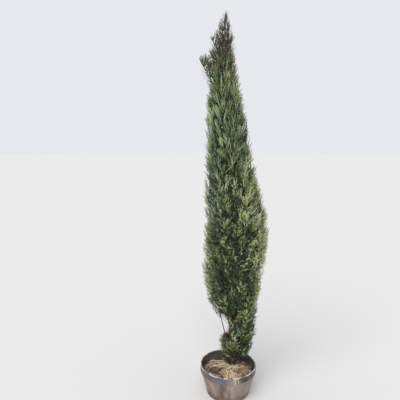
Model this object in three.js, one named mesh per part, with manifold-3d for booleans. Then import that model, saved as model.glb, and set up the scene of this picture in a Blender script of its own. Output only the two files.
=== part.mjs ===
// A potted Italian cypress, about 2.1 m from the underside of its pot to its tip.
// Millimetres, +Z up. The origin is the centre of the pot's flat underside, on the ground.
// +X is the right-hand side of the tree as it is usually seen, and +Y is its far side.
// The trunk runs up through the crown. Steep boughs leave it in tiers, and each one ends in a mass of
// foliage: a stem, a dense core and toothed sprays that stand out of the core up to the crown's outline.
import * as THREE from "three";
import { mergeVertices } from "three/addons/utils/BufferGeometryUtils.js";
import Module from "manifold-3d";

const wasm = await Module();
wasm.setup();

// Driving dimensions.
const GAP = 0.3; // between solids that meet

const POT = {
  height: 170,
  rimRadius: 160,
  footRadius: 122,
  wall: 3.5,
  floor: 5,
  collarHeight: 38,
  collarOut: 5,
  lip: 2.5,
  drainHoles: 6,
  drainRadius: 7,
  drainHeight: 11,
  drainSides: 6,
  sides: 32,
};

const SOIL = {
  belowRim: 48,
  rings: 4,
  edge: 6,
  foot: 62,
  slope: 30,
  heap: 15,
  heapAt: [8, -74],
  heapWidth: 58,
};
SOIL.level = POT.height - SOIL.belowRim;

// Heights in the tables below are measured from the pot's rim.
// The trunk's centreline and radius: [height, x, y, radius]. It starts from a flat cut on the soil.
const TRUNK_LINE = [
  [GAP - SOIL.belowRim, 27, 18, 19],
  [135, 31, 16, 16.5],
  [475, 27, 8, 14],
  [815, 20, 0, 11.5],
  [1165, 0, -4, 8.6],
  [1515, -25, 0, 5.4],
  [1843, -35, 3, 2.4],
].map(fromRim);
const TRUNK = { sides: 10, steps: 22, flare: 0.42, flareHeight: 26, lobes: 3, lobeShare: 0.16 };

// The crown's outline: [height, centre x, half width]. It is round in plan about that centre.
const CROWN = [
  [45, 42, 64],
  [100, 44, 95],
  [173, 52, 106],
  [264, 54, 108],
  [325, 40, 124],
  [385, 31, 146],
  [475, 23, 168],
  [585, 22, 181],
  [705, 32, 187],
  [790, 38, 190],
  [875, 37, 184],
  [955, 28, 174],
  [1040, 12, 156],
  [1120, 0, 140],
  [1230, -12, 128],
  [1335, -19, 117],
  [1415, -27, 108],
  [1490, -32, 98],
  [1565, -36, 86],
  [1641, -38, 75],
  [1691, -40, 66],
  [1735, -41, 60],
  [1785, -39, 52],
  [1825, -38, 44],
  [1863, -37, 33],
  [1897, -36, 22],
  [1923, -33, 11],
  [1937, -32, 3],
].map(fromRim);
// An opening low on the left, right through the crown from front to back, that only a bare stem crosses.
// The higher its squareness, the sharper are its corners.
const OPENING = { x: -64, z: POT.height + 238, halfWidth: 64, halfHeight: 70, squareness: 4 };

// Tiers of boughs from the lowest up. A tier's boughs leave the trunk from leave upwards, one above the
// other by stagger in all, and each one's mass ends near top. turn is the first one's bearing in degrees,
// out is how far out in the crown the mass stands, and bough is the bough's radius at the trunk.
const TIERS = [
  ["skirt", 5, -27, 50, 405, 20, 0.7, 8, 5.2],
  ["lower", 5, 115, 110, 815, 342, 0.56, 10, 6.4],
  ["middle", 5, 395, 130, 1135, 20, 0.56, 10, 6.4],
  ["upper", 5, 695, 130, 1405, 346, 0.54, 10, 5.4],
  ["high", 4, 985, 120, 1635, 60, 0.52, 9, 4.4],
  ["crest", 3, 1275, 60, 1785, 20, 0.5, 9, 0],
  ["top", 3, 1565, 40, 1850, 0, 0.46, 7, 0],
].map(([name, count, leave, stagger, top, turn, out, sprays, bough]) => (
  { name, count, leave, stagger, top, turn, out, sprays, bough }
));
// How a tier's curves bend, as [share of the rise, share of out], and how much they differ.
const TIER_CURVE = { first: [0.2, 0.72], second: [0.5, 1.12], bearingSpread: 20, topSpread: 56 };
// Two plumes on the left lean out of the crown's outline, and the leader goes on from the trunk's tip.
const PLUMES = [
  {
    name: "side",
    line: [[-27, 0, 1477], [-66, -8, 1521], [-104, -20, 1583], [-142, -26, 1651]],
    sprays: 11,
    bough: 0,
    reach: 46,
    longest: 88,
  },
  {
    name: "left_tip",
    line: [[-33, 2, 1677], [-56, 0, 1701], [-76, -4, 1739], [-96, -6, 1781]],
    sprays: 5,
    bough: 0,
    reach: 26,
    longest: 60,
  },
  {
    name: "leader",
    line: [[-35, 3, 1845], [-35, 3, 1863], [-34, 3, 1885], [-33, 3, 1906]],
    sprays: 8,
    bough: 0,
    reach: 32,
    longest: 60,
  },
];

const BOUGH = { sides: 5, steps: 3, share: 0.2, taper: 0.72, flare: 0.5 };
const STEM = { sides: 3, steps: 4, radius: 4.2, tip: 1.5 };
const TWIG = { sides: 3, radius: 4, tip: 2.6, share: 0.3 };
const CORE = {
  sides: 6,
  rings: 6,
  from: 0.01,
  to: 0.92,
  inner: 0.97, // share of the space towards the trunk
  outer: 0.68, // share of the space outwards
  most: 90,
  lumps: 0.16,
  shrink: 0.85,
  smallest: 0.1,
};
const SPRAY = {
  longest: 175,
  shortest: 40,
  lowest: 0.03, // share of the stem
  highest: 0.97,
  step: 6,
  width: 0.34, // of the length
  thick: 0.085, // of the length
  ridge: 0.45, // where it is thickest
  perReach: 3,
  mostLean: 40,
  leanSpread: 0.6,
  bearingSpread: 266,
  twist: 90,
  sunk: 7,
  tipSunk: 18,
};
// A spray's toothed outline as [share of the length, share of the half width], root to tip.
const TEETH = [[0.56, 1], [0.53, 0.42]];
const SPACE = { betweenMasses: 2.2, offLimbs: 1.8, marchStep: 3, samples: 14, trunkSamples: 24 };
const GOLDEN_ANGLE = 137.508;
const POLE = 0.01;
const SEED = 20417;

const COLOURS = {
  pot: 0x5d5a58,
  soil: 0x6b4a36,
  bark: 0x6e5f52,
  deep: 0x3f5640,
  green: 0x5f7350,
  light: 0x7f8659,
};

// A table's row with its height from the rim turned into its height from the ground.
function fromRim([height, ...rest]) {
  return [POT.height + height, ...rest];
}

// Seeded draws from 0 to 1.
function makeDraw(seed) {
  let state = seed >>> 0;
  return () => {
    state = (Math.imul(state, 1664525) + 1013904223) >>> 0;
    return state / 4294967296;
  };
}

// The row of a table at a height, by a smooth cubic through its rows.
function rowAt(table, height) {
  const last = table.length - 1;
  const z = Math.min(Math.max(height, table[0][0]), table[last][0]);
  let i = 0;
  while (i < last - 1 && z > table[i + 1][0]) i += 1;
  const [a, b] = [table[i], table[i + 1]];
  const before = table[Math.max(i - 1, 0)];
  const after = table[Math.min(i + 2, last)];
  const span = b[0] - a[0];
  const t = (z - a[0]) / span;
  return a.map((value, k) => {
    const slopeA = (b[k] - before[k]) / (b[0] - before[0]);
    const slopeB = (after[k] - a[k]) / (after[0] - a[0]);
    const bend = t * (1 - t) * ((1 - t) * slopeA - t * slopeB) * span;
    return value + (b[k] - value) * t * t * (3 - 2 * t) + bend;
  });
}

const radians = (degrees) => (degrees * Math.PI) / 180;
const point = ([x, y, height]) => new THREE.Vector3(x, y, POT.height + height);

function trunkAt(height) {
  const [, x, y, radius] = rowAt(TRUNK_LINE, height);
  return { x, y, radius };
}

function crownAt(height) {
  const [, x, radius] = rowAt(CROWN, height);
  return { x, y: trunkAt(height).y, radius };
}

function insideCrown(p) {
  if (p.z < CROWN[0][0] || p.z > CROWN[CROWN.length - 1][0]) return false;
  const aside = Math.abs(p.x - OPENING.x) / OPENING.halfWidth;
  const above = Math.abs(p.z - OPENING.z) / OPENING.halfHeight;
  if (aside ** OPENING.squareness + above ** OPENING.squareness < 1) return false;
  const crown = crownAt(p.z);
  return Math.hypot(p.x - crown.x, p.y - crown.y) < crown.radius;
}

// Distance from p to a sampled line, less the line's radius there.
function distanceTo(line, p) {
  let best = Infinity;
  for (let i = 0; i < line.points.length - 1; i += 1) {
    const a = line.points[i];
    const b = line.points[i + 1];
    const ab = b.clone().sub(a);
    const t = Math.min(1, Math.max(0, p.clone().sub(a).dot(ab) / ab.lengthSq()));
    const away = p.distanceTo(a.clone().addScaledVector(ab, t));
    const radius = line.radii[i] + (line.radii[i + 1] - line.radii[i]) * t;
    best = Math.min(best, away - radius);
  }
  return best;
}

// The line of one bough and of the mass that it carries: out from the trunk, then up inside the crown.
function tierCurve(tier, index, draw) {
  const { first, second, bearingSpread, topSpread } = TIER_CURVE;
  const bearing = radians(tier.turn + (360 * index) / tier.count + (draw() - 0.5) * bearingSpread);
  const out = new THREE.Vector3(Math.cos(bearing), Math.sin(bearing), 0);
  const top = POT.height + tier.top + (draw() - 0.5) * topSpread;
  const leave = POT.height + tier.leave + (tier.stagger * ((2 * index) % tier.count)) / tier.count;
  const rise = top - leave;
  const root = trunkAt(leave);
  const inCrown = ([share, reach]) => {
    const z = leave + rise * share;
    const crown = crownAt(Math.max(z, CROWN[1][0]));
    return new THREE.Vector3(crown.x, crown.y, z).addScaledVector(out, crown.radius * tier.out * reach);
  };
  const start = new THREE.Vector3(root.x, root.y, leave);
  const curve = new THREE.CubicBezierCurve3(start, inCrown(first), inCrown(second), inCrown([1, 1]));
  return { out, curve };
}

// A plain record of every mass: its curve, where its bough ends and how far it may reach.
function planMasses() {
  const draw = makeDraw(SEED);
  const plan = [];
  for (const tier of TIERS) {
    for (let i = 0; i < tier.count; i += 1) {
      const { out, curve } = tierCurve(tier, i, draw);
      plan.push({ name: `${tier.name}_${i + 1}`, out, curve, sprays: tier.sprays, bough: tier.bough });
    }
  }
  for (const plume of PLUMES) {
    const curve = new THREE.CubicBezierCurve3(...plume.line.map(point));
    const out = curve.v3.clone().sub(curve.v0).setZ(0);
    if (out.length() < STEM.radius) out.set(1, 0, 0);
    plan.push({ ...plume, out: out.normalize(), curve });
  }
  plan.forEach((mass, i) => {
    mass.index = i;
    mass.start = mass.bough ? BOUGH.share : mass.name === "leader" ? 0 : leavesTrunk(mass.curve);
    mass.axis = sampled(mass.curve, mass.start, 1, SPACE.samples, 0, 0);
    mass.limb = mass.bough
      ? sampled(mass.curve, 0, BOUGH.share, BOUGH.steps, mass.bough, mass.bough * BOUGH.taper)
      : null;
  });
  return plan;
}

// Where along its curve a stem that starts in the trunk comes out of it.
function leavesTrunk(curve) {
  let u = 0;
  while (u < 0.5) {
    const p = curve.getPoint(u);
    const trunk = trunkAt(p.z);
    if (Math.hypot(p.x - trunk.x, p.y - trunk.y) > trunk.radius + STEM.radius) break;
    u += 0.01;
  }
  return u;
}

function sampled(curve, from, to, steps, radiusFrom, radiusTo) {
  const points = [];
  const radii = [];
  for (let i = 0; i <= steps; i += 1) {
    points.push(curve.getPoint(from + ((to - from) * i) / steps));
    radii.push(radiusFrom + ((radiusTo - radiusFrom) * i) / steps);
  }
  return { points, radii };
}

function sampledTrunk(steps) {
  const [low, high] = [TRUNK_LINE[0][0], TRUNK_LINE[TRUNK_LINE.length - 1][0]];
  const samples = Array.from({ length: steps + 1 }, (_, i) => low + ((high - low) * i) / steps);
  return {
    points: samples.map((z) => new THREE.Vector3(trunkAt(z).x, trunkAt(z).y, z)),
    radii: samples.map((z) => trunkAt(z).radius),
  };
}

const masses = planMasses();
const boughLines = masses.filter((mass) => mass.limb).map((mass) => mass.limb);
const trunkLine = sampledTrunk(SPACE.trunkSamples);

function clearOfLimbs(p) {
  if (distanceTo(trunkLine, p) < SPACE.offLimbs) return false;
  return boughLines.every((line) => distanceTo(line, p) > SPACE.offLimbs);
}

// True if p is in this mass's own share of the crown: nearest to its axis, and clear of the limbs.
function inSpace(mass, p) {
  const own = distanceTo(mass.axis, p);
  const allowed = insideCrown(p) || (mass.reach && own < mass.reach);
  if (!allowed || !clearOfLimbs(p)) return false;
  return masses.every(
    (other) => other === mass || distanceTo(other.axis, p) > own + SPACE.betweenMasses,
  );
}

// Solids for booleans, and back again.
function solidOf(geometry) {
  const bare = geometry.clone();
  for (const name of Object.keys(bare.attributes)) {
    if (name !== "position") bare.deleteAttribute(name);
  }
  const merged = mergeVertices(bare, 1e-4);
  const mesh = new wasm.Mesh({
    numProp: 3,
    vertProperties: merged.attributes.position.array,
    triVerts: new Uint32Array(merged.index.array),
  });
  return new wasm.Manifold(mesh);
}

function geometryOf(solid) {
  const { vertProperties, triVerts } = solid.getMesh();
  return new THREE.BufferGeometry()
    .setAttribute("position", new THREE.BufferAttribute(vertProperties, 3))
    .setIndex(new THREE.BufferAttribute(triVerts, 1));
}

function largest(solid) {
  const bodies = solid.decompose().sort((a, b) => b.volume() - a.volume());
  return bodies[0];
}

// A geometry whose every vertex is put somewhere else by place(vertex).
function reshaped(geometry, place) {
  const position = geometry.attributes.position;
  const vertex = new THREE.Vector3();
  for (let i = 0; i < position.count; i += 1) {
    const placed = place(vertex.fromBufferAttribute(position, i));
    position.setXYZ(i, placed.x, placed.y, placed.z);
  }
  return geometry;
}

// Two directions square to a curve's own, the same for a given tangent wherever it is.
function across(tangent) {
  const side = new THREE.Vector3(0, 1, 0).cross(tangent);
  if (side.length() < 0.2) side.set(1, 0, 0);
  side.addScaledVector(tangent, -side.dot(tangent)).normalize();
  return [side, tangent.clone().cross(side).normalize()];
}

// A tapering limb along a curve with a flat end at both ends.
function limb(curve, from, to, radiusAt, sides, steps) {
  return reshaped(new THREE.CylinderGeometry(1, 1, 1, sides, steps), (v) => {
    const t = v.y + 0.5;
    const u = from + (to - from) * t;
    const [side, other] = across(curve.getTangent(u));
    const bearing = Math.atan2(v.z, v.x);
    const reach = Math.hypot(v.x, v.z) < 0.5 ? 0 : radiusAt(t);
    return curve
      .getPoint(u)
      .addScaledVector(side, reach * Math.cos(bearing))
      .addScaledVector(other, -reach * Math.sin(bearing));
  });
}

function trunkGeometry(grow = 0) {
  const [low, high] = [TRUNK_LINE[0][0], TRUNK_LINE[TRUNK_LINE.length - 1][0]];
  return reshaped(new THREE.CylinderGeometry(1, 1, 1, TRUNK.sides, TRUNK.steps), (v) => {
    const t = (v.y + 0.5) ** 1.15;
    const z = low + (high - low) * t;
    const { x, y, radius } = trunkAt(z);
    const bearing = Math.atan2(-v.z, v.x);
    const foot = Math.exp((low - z) / TRUNK.flareHeight);
    const lobe = 1 + TRUNK.lobeShare * foot * Math.cos(TRUNK.lobes * bearing);
    const flared = radius * (1 + TRUNK.flare * foot) * lobe + grow;
    const reach = Math.hypot(v.x, v.z) < 0.5 ? 0 : flared;
    return new THREE.Vector3(x + reach * Math.cos(bearing), y + reach * Math.sin(bearing), z);
  });
}

function boughSolid(mass, grownTrunk) {
  const radiusAt = (t) => mass.bough * (1 + BOUGH.flare * (1 - t) ** 6) * (1 - (1 - BOUGH.taper) * t);
  const whole = solidOf(limb(mass.curve, 0, BOUGH.share, radiusAt, BOUGH.sides, BOUGH.steps));
  return largest(whole.subtract(grownTrunk));
}

// The stem that a mass grows from. It starts a gap past its bough's tip, or is cut to the trunk.
function stemSolid(mass, grownTrunk) {
  const thick = mass.bough ? mass.bough * BOUGH.taper : STEM.radius;
  const onTrunk = !mass.bough && mass.name !== "leader";
  const from = onTrunk ? 0 : mass.start + GAP / mass.curve.getLength();
  const radiusAt = (t) => STEM.tip + (thick * 0.95 - STEM.tip) * (1 - t);
  const whole = solidOf(limb(mass.curve, from, 1, radiusAt, STEM.sides, STEM.steps));
  return onTrunk ? largest(whole.subtract(grownTrunk)) : whole;
}

// How far a ray from the mass's axis stays in the mass's own space.
function reachAlong(mass, from, direction) {
  let reach = 0;
  for (let r = SPACE.marchStep; r < SPRAY.longest; r += SPACE.marchStep) {
    if (!inSpace(mass, from.clone().addScaledVector(direction, r))) break;
    reach = r;
  }
  return reach;
}

// The dense inside of a mass. It fills most of the mass's space towards the trunk and less of it outwards,
// and it is a little lumpy.
function coreSolid(mass, size) {
  const draw = makeDraw(SEED + 31 * (mass.index + 1));
  const from = mass.start + (1 - mass.start) * CORE.from;
  const to = mass.start + (1 - mass.start) * CORE.to;
  const lumps = Array.from({ length: CORE.sides * (CORE.rings + 1) }, () => 1 - CORE.lumps * draw());
  return solidOf(
    reshaped(new THREE.SphereGeometry(1, CORE.sides, CORE.rings), (v) => {
      const t = 1 - Math.acos(Math.max(-1, Math.min(1, v.y))) / Math.PI;
      const u = from + (to - from) * t;
      const centre = mass.curve.getPoint(u);
      if (t < POLE || t > 1 - POLE) return centre;
      const [side, other] = across(mass.curve.getTangent(u));
      const bearing = Math.atan2(v.z, v.x);
      const turn = Math.round((bearing / (2 * Math.PI) + 1) * CORE.sides) % CORE.sides;
      const lump = lumps[turn + CORE.sides * Math.round(t * CORE.rings)];
      const direction = side.multiplyScalar(Math.cos(bearing)).addScaledVector(other, -Math.sin(bearing));
      const outward = 0.5 + 0.5 * direction.dot(mass.out);
      const share = size * lump * (CORE.inner + (CORE.outer - CORE.inner) * outward);
      const full = Math.min(CORE.most, reachAlong(mass, centre, direction) * share);
      return centre.addScaledVector(direction, Math.max(full, STEM.radius) * Math.sin(Math.PI * t) ** 0.5);
    }),
  );
}

// A spray's frame: its root, its direction, and the direction across its flat side.
function sprayFrame(root, direction, facing) {
  const wide = direction.clone().cross(facing).normalize();
  return { root, direction, wide, flat: wide.clone().cross(direction).normalize() };
}

function onSpray(frame, length, along, half) {
  return frame.root
    .clone()
    .addScaledVector(frame.direction, along * length)
    .addScaledVector(frame.wide, (half * length * SPRAY.width) / 2);
}

function sprayFits(mass, frame, length) {
  const probes = [onSpray(frame, length, 1, 0)];
  for (const [along, half] of TEETH) {
    probes.push(onSpray(frame, length, along, half), onSpray(frame, length, along, -half));
  }
  return probes.every((p) => inSpace(mass, p)) && clearOfLimbs(onSpray(frame, length, SPRAY.ridge, 0));
}

// The longest spray that fits in the mass's space, or null.
function fittedSpray(mass, frame, longest) {
  for (let length = longest; length >= Math.min(SPRAY.shortest, longest); length -= SPRAY.step) {
    if (sprayFits(mass, frame, length)) return { frame, length };
  }
  return null;
}

// Where one mass's sprays go: up the stem by the golden angle, most on the outer side, and one on its tip.
function planSprays(mass) {
  const draw = makeDraw(SEED + 97 * (mass.index + 1));
  const found = [];
  const { lowest, highest } = SPRAY;
  const longest = mass.longest ?? SPRAY.longest;
  const home = Math.atan2(mass.out.y, mass.out.x);
  for (let k = 0; k < mass.sprays; k += 1) {
    const share = (k + 0.25 + 0.5 * draw()) / mass.sprays;
    const u = mass.start + (1 - mass.start) * (lowest + (highest - lowest) * share);
    const swing = (((k * GOLDEN_ANGLE) / 360 + draw() / 12) % 1) - 0.5;
    const bearing = home + radians(swing * SPRAY.bearingSpread);
    const twist = radians((draw() - 0.5) * SPRAY.twist);
    const outward = new THREE.Vector3(Math.cos(bearing), Math.sin(bearing), 0);
    const stem = mass.curve.getPoint(u);
    const open = reachAlong(mass, stem, outward);
    const full = Math.min(longest, Math.max(SPRAY.shortest, open * SPRAY.perReach));
    const toEdge = Math.asin(Math.min(1, (open * (1 - TWIG.share)) / full));
    const lean = Math.min(toEdge * (1 + SPRAY.leanSpread * (draw() - 0.5)), radians(SPRAY.mostLean));
    const along = mass.curve.getTangent(u).multiplyScalar(Math.cos(lean));
    const direction = along.addScaledVector(outward, Math.sin(lean)).normalize();
    const root = stem.clone().addScaledVector(outward, open * TWIG.share);
    const facing = outward.clone().applyAxisAngle(direction, twist);
    const spray = fittedSpray(mass, sprayFrame(root, direction, facing), full);
    if (spray) found.push({ ...spray, stem });
  }
  const end = mass.curve.getTangent(1);
  const root = mass.curve.getPoint(1).addScaledVector(end, -SPRAY.tipSunk);
  const top = fittedSpray(mass, sprayFrame(root, end, mass.out), longest);
  if (top) found.push({ ...top, stem: mass.curve.getPoint(0.9) });
  return found;
}

// The twig from the stem to a spray, and a little way up inside it.
function twigSolid({ frame, stem }) {
  const end = frame.root.clone().addScaledVector(frame.direction, SPRAY.sunk);
  const radiusAt = (t) => TWIG.radius + (TWIG.tip - TWIG.radius) * t;
  return solidOf(limb(new THREE.LineCurve3(stem, end), 0, 1, radiusAt, TWIG.sides, 1));
}

// A toothed blade with a ridge on both sides.
function spraySolid({ frame, length }) {
  const sideOf = (sign) => TEETH.map(([along, half]) => onSpray(frame, length, along, sign * half));
  const outline = [
    onSpray(frame, length, 0, 0),
    ...sideOf(1),
    onSpray(frame, length, 1, 0),
    ...sideOf(-1).reverse(),
  ];
  const middle = onSpray(frame, length, SPRAY.ridge, 0);
  const ridge = (sign) => middle.clone().addScaledVector(frame.flat, (sign * SPRAY.thick * length) / 2);
  const corners = [...outline, ridge(1), ridge(-1)];
  const [top, bottom] = [outline.length, outline.length + 1];
  const faces = outline.flatMap((_, i) => {
    const next = (i + 1) % outline.length;
    return [next, i, bottom, i, next, top];
  });
  return solidOf(new THREE.BufferGeometry().setFromPoints(corners).setIndex(faces));
}

const boxesMeet = (a, b) =>
  [0, 1, 2].every((k) => a.boundingBox().min[k] < b.boundingBox().max[k] + GAP) &&
  [0, 1, 2].every((k) => b.boundingBox().min[k] < a.boundingBox().max[k] + GAP);

const touches = (a, b) => boxesMeet(a, b) && a.intersect(b).volume() > 0;

// A core as full as it can be while it stays clear of the solids round it.
function clearCore(mass, others) {
  let size = 1;
  let core = coreSolid(mass, size);
  while (size > CORE.smallest && others.some((solid) => touches(core, solid))) {
    size *= CORE.shrink;
    core = coreSolid(mass, size);
  }
  return core;
}

// Every mass as one solid: stem, core and the sprays that stay clear of limbs and of other masses.
function massSolids(limbs, grownTrunk) {
  const stems = masses.map((mass) => stemSolid(mass, grownTrunk));
  const bodies = [...stems];
  masses.forEach((mass, i) => {
    const others = [...limbs, ...bodies.filter((_, k) => k !== i)];
    bodies[i] = stems[i].add(clearCore(mass, others));
  });
  const grown = bodies.map(() => []);
  masses.forEach((mass, i) => {
    for (const plan of planSprays(mass)) {
      const blade = spraySolid(plan);
      const spray = touches(blade, bodies[i]) ? blade : blade.add(twigSolid(plan));
      const others = [...bodies.filter((_, k) => k !== i), ...grown.filter((_, k) => k !== i).flat()];
      if (![...limbs, ...others].some((solid) => touches(spray, solid))) grown[i].push(spray);
    }
  });
  return masses.map((_, i) => largest(wasm.Manifold.union([bodies[i], ...grown[i]])));
}

// The pot: a tapering plastic wall with a collar under its lip, and drain holes round its foot.
function potSolid() {
  const { height, rimRadius, footRadius, wall, floor, collarHeight, collarOut, lip } = POT;
  const collarFoot = height - collarHeight;
  const neck = rimRadius - collarOut;
  const profile = [
    [0, 0],
    [footRadius - 3, 0],
    [footRadius, 3],
    [neck, collarFoot],
    [rimRadius, collarFoot + 2],
    [rimRadius, height - lip],
    [rimRadius - lip / 2, height],
    [rimRadius - lip - wall / 2, height],
    [rimRadius - lip - wall, height - lip],
    [neck - wall, collarFoot],
    [footRadius - wall, floor],
    [0, floor],
  ];
  const shell = new THREE.LatheGeometry(
    profile.map(([r, z]) => new THREE.Vector2(r, z)),
    POT.sides,
  ).rotateX(Math.PI / 2);
  let pot = solidOf(shell);
  for (let i = 0; i < POT.drainHoles; i += 1) {
    const bearing = (2 * Math.PI * (i + 0.5)) / POT.drainHoles;
    const cutter = new THREE.CylinderGeometry(POT.drainRadius, POT.drainRadius, 4 * wall, POT.drainSides)
      .rotateZ(Math.PI / 2)
      .translate(POT.footRadius, 0, POT.drainHeight)
      .rotateZ(bearing);
    pot = pot.subtract(solidOf(cutter));
  }
  return pot;
}

// How high the soil stands at a place: flat round the trunk's foot, uneven elsewhere, heaped in front.
function soilHeight(x, y) {
  const [foot] = TRUNK_LINE;
  const away = Math.hypot(x - foot[1], y - foot[2]);
  const open = Math.min(1, Math.max(0, (away - SOIL.foot) / SOIL.slope));
  const waves = 3 * Math.sin(0.06 * x + 1) * Math.cos(0.05 * y) + 2 * Math.sin(0.11 * x + 0.09 * y);
  const [hx, hy] = SOIL.heapAt;
  const heap = SOIL.heap * Math.exp(-((x - hx) ** 2 + (y - hy) ** 2) / SOIL.heapWidth ** 2);
  return SOIL.level + open * (waves + heap);
}

function soilGeometry() {
  const { footRadius, wall, floor, height, collarHeight, rimRadius, collarOut } = POT;
  const collarFoot = height - collarHeight;
  const insideAt = (z) => {
    const t = (z - floor) / (collarFoot - floor);
    return footRadius + (rimRadius - collarOut - footRadius) * t - wall - GAP;
  };
  const low = floor + GAP;
  const shoulder = SOIL.level - SOIL.edge;
  const profile = [[0, low], [insideAt(low), low], [insideAt(shoulder), shoulder]];
  for (let i = SOIL.rings; i >= 0; i -= 1) {
    profile.push([((insideAt(shoulder) - 1) * i) / SOIL.rings, SOIL.level]);
  }
  const turned = new THREE.LatheGeometry(
    profile.map(([r, z]) => new THREE.Vector2(r, z)),
    POT.sides,
  ).rotateX(Math.PI / 2);
  return reshaped(turned, (v) => {
    const edge = Math.hypot(v.x, v.y) > insideAt(shoulder) - 3;
    if (v.z > shoulder + 1 && !edge) v.z = soilHeight(v.x, v.y);
    return v;
  });
}

const material = (colour, roughness) =>
  new THREE.MeshStandardMaterial({ color: colour, roughness, metalness: 0 });

const looks = {
  pot: material(COLOURS.pot, 0.6),
  soil: material(COLOURS.soil, 0.95),
  bark: material(COLOURS.bark, 0.9),
  foliage: [COLOURS.deep, COLOURS.green, COLOURS.light].map((colour) => material(colour, 0.75)),
};

const tree = new THREE.Group();

function addNode(name, geometry, look) {
  const mesh = new THREE.Mesh(geometry, look);
  mesh.name = name;
  tree.add(mesh);
}

const trunk = solidOf(trunkGeometry());
const grownTrunk = solidOf(trunkGeometry(GAP + 0.05));
const boughs = masses.filter((mass) => mass.bough).map((mass) => ({
  name: mass.name,
  solid: boughSolid(mass, grownTrunk),
}));
const foliage = massSolids([trunk, ...boughs.map((bough) => bough.solid)], grownTrunk);

addNode("pot", geometryOf(potSolid()), looks.pot);
addNode("potting_soil", geometryOf(solidOf(soilGeometry())), looks.soil);
addNode("trunk", geometryOf(trunk), looks.bark);
boughs.forEach((bough) => addNode(`bough_${bough.name}`, geometryOf(bough.solid), looks.bark));
masses.forEach((mass, i) =>
  addNode(`foliage_${mass.name}`, geometryOf(foliage[i]), looks.foliage[i % looks.foliage.length]),
);

export default tree;
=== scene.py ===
import math
from types import SimpleNamespace

import bpy
import numpy as np
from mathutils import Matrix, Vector, noise


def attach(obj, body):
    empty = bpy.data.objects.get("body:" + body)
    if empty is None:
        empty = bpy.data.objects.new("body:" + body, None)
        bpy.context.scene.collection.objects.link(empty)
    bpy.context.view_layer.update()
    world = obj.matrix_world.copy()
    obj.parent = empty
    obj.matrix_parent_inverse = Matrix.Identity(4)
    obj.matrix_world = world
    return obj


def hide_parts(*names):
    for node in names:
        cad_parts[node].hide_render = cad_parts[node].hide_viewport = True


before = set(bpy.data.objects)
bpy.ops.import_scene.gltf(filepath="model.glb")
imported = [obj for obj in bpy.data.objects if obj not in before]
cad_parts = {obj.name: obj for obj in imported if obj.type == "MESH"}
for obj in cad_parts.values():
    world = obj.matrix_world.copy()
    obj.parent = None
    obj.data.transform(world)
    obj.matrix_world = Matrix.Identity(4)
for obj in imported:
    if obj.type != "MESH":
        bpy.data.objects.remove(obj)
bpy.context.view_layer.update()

# A potted Italian cypress. Lengths are millimetres in the row frame until a mesh is made, with the origin
# at the centre of the pot's underside, +X to the viewer's right and +Y away from the viewer.
MM = 0.001
SEED = 20417
GOLDEN_ANGLE = 137.508

POT = SimpleNamespace(
    height=170, rim_radius=160, foot_radius=122, wall=3.5, floor=5, collar_height=38, collar_out=5,
    drain_holes=6, drain_radius=7, drain_height=11,
)
SOIL = SimpleNamespace(
    level=POT.height - 48, edge_drop=6, gap=0.3, foot=62, slope=30, heap=15, heap_at=(8, -74), heap_width=58,
)
COLLAR_FOOT = POT.height - POT.collar_height
NECK = POT.rim_radius - POT.collar_out


def from_rim(rows):
    """A table whose heights are measured from the pot's rim, with heights from the ground."""
    table = np.array(rows, float)
    table[:, 0] += POT.height
    return table


# The trunk's centreline and radius: height above the rim, x, y, radius.
TRUNK_LINE = from_rim([
    [-47.7, 27, 18, 19],
    [135, 31, 16, 16.5],
    [475, 27, 8, 14],
    [815, 20, 0, 11.5],
    [1165, 0, -4, 8.6],
    [1515, -25, 0, 5.4],
    [1843, -35, 3, 2.4],
])
FLARE = SimpleNamespace(grow=0.42, height=26, lobes=3, lobe_share=0.16)

# The crown's outline: height above the rim, centre x, half width.
CROWN = from_rim([
    [45, 42, 64],
    [100, 44, 95],
    [173, 52, 106],
    [264, 54, 108],
    [325, 40, 124],
    [385, 31, 146],
    [475, 23, 168],
    [585, 22, 181],
    [705, 32, 187],
    [790, 38, 190],
    [875, 37, 184],
    [955, 28, 174],
    [1040, 12, 156],
    [1120, 0, 140],
    [1230, -12, 128],
    [1335, -19, 117],
    [1415, -27, 108],
    [1490, -32, 98],
    [1565, -36, 86],
    [1641, -38, 75],
    [1691, -40, 66],
    [1735, -41, 60],
    [1785, -39, 52],
    [1825, -38, 44],
    [1863, -37, 33],
    [1897, -36, 22],
    [1923, -33, 11],
    [1937, -32, 3],
])
# An opening low on the left, right through the crown from front to back, with rounded corners.
OPENING = SimpleNamespace(x=-64, z=POT.height + 238, half_width=64, half_height=70, squareness=4)

# Tiers of boughs: where they leave the trunk and end, how they stand round it, and their branchlets.
TIER_KEYS = ("name", "count", "leave", "stagger", "top", "turn", "out", "branchlets", "bough")
TIERS = [
    dict(zip(TIER_KEYS, row))
    for row in (
        ("skirt", 5, -27, 50, 405, 20, 0.7, 30, 5.2),
        ("lower", 5, 115, 110, 815, 342, 0.56, 52, 6.4),
        ("middle", 5, 395, 130, 1135, 20, 0.56, 52, 6.4),
        ("upper", 5, 695, 130, 1405, 346, 0.54, 40, 5.4),
        ("high", 4, 985, 120, 1635, 60, 0.52, 32, 4.4),
        ("crest", 3, 1275, 60, 1785, 20, 0.5, 28, 0),
        ("top", 3, 1565, 40, 1850, 0, 0.46, 22, 0),
    )
]
TIER_CURVE = SimpleNamespace(first=(0.2, 0.72), second=(0.5, 1.12), bearing_spread=20, top_spread=56)
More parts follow.
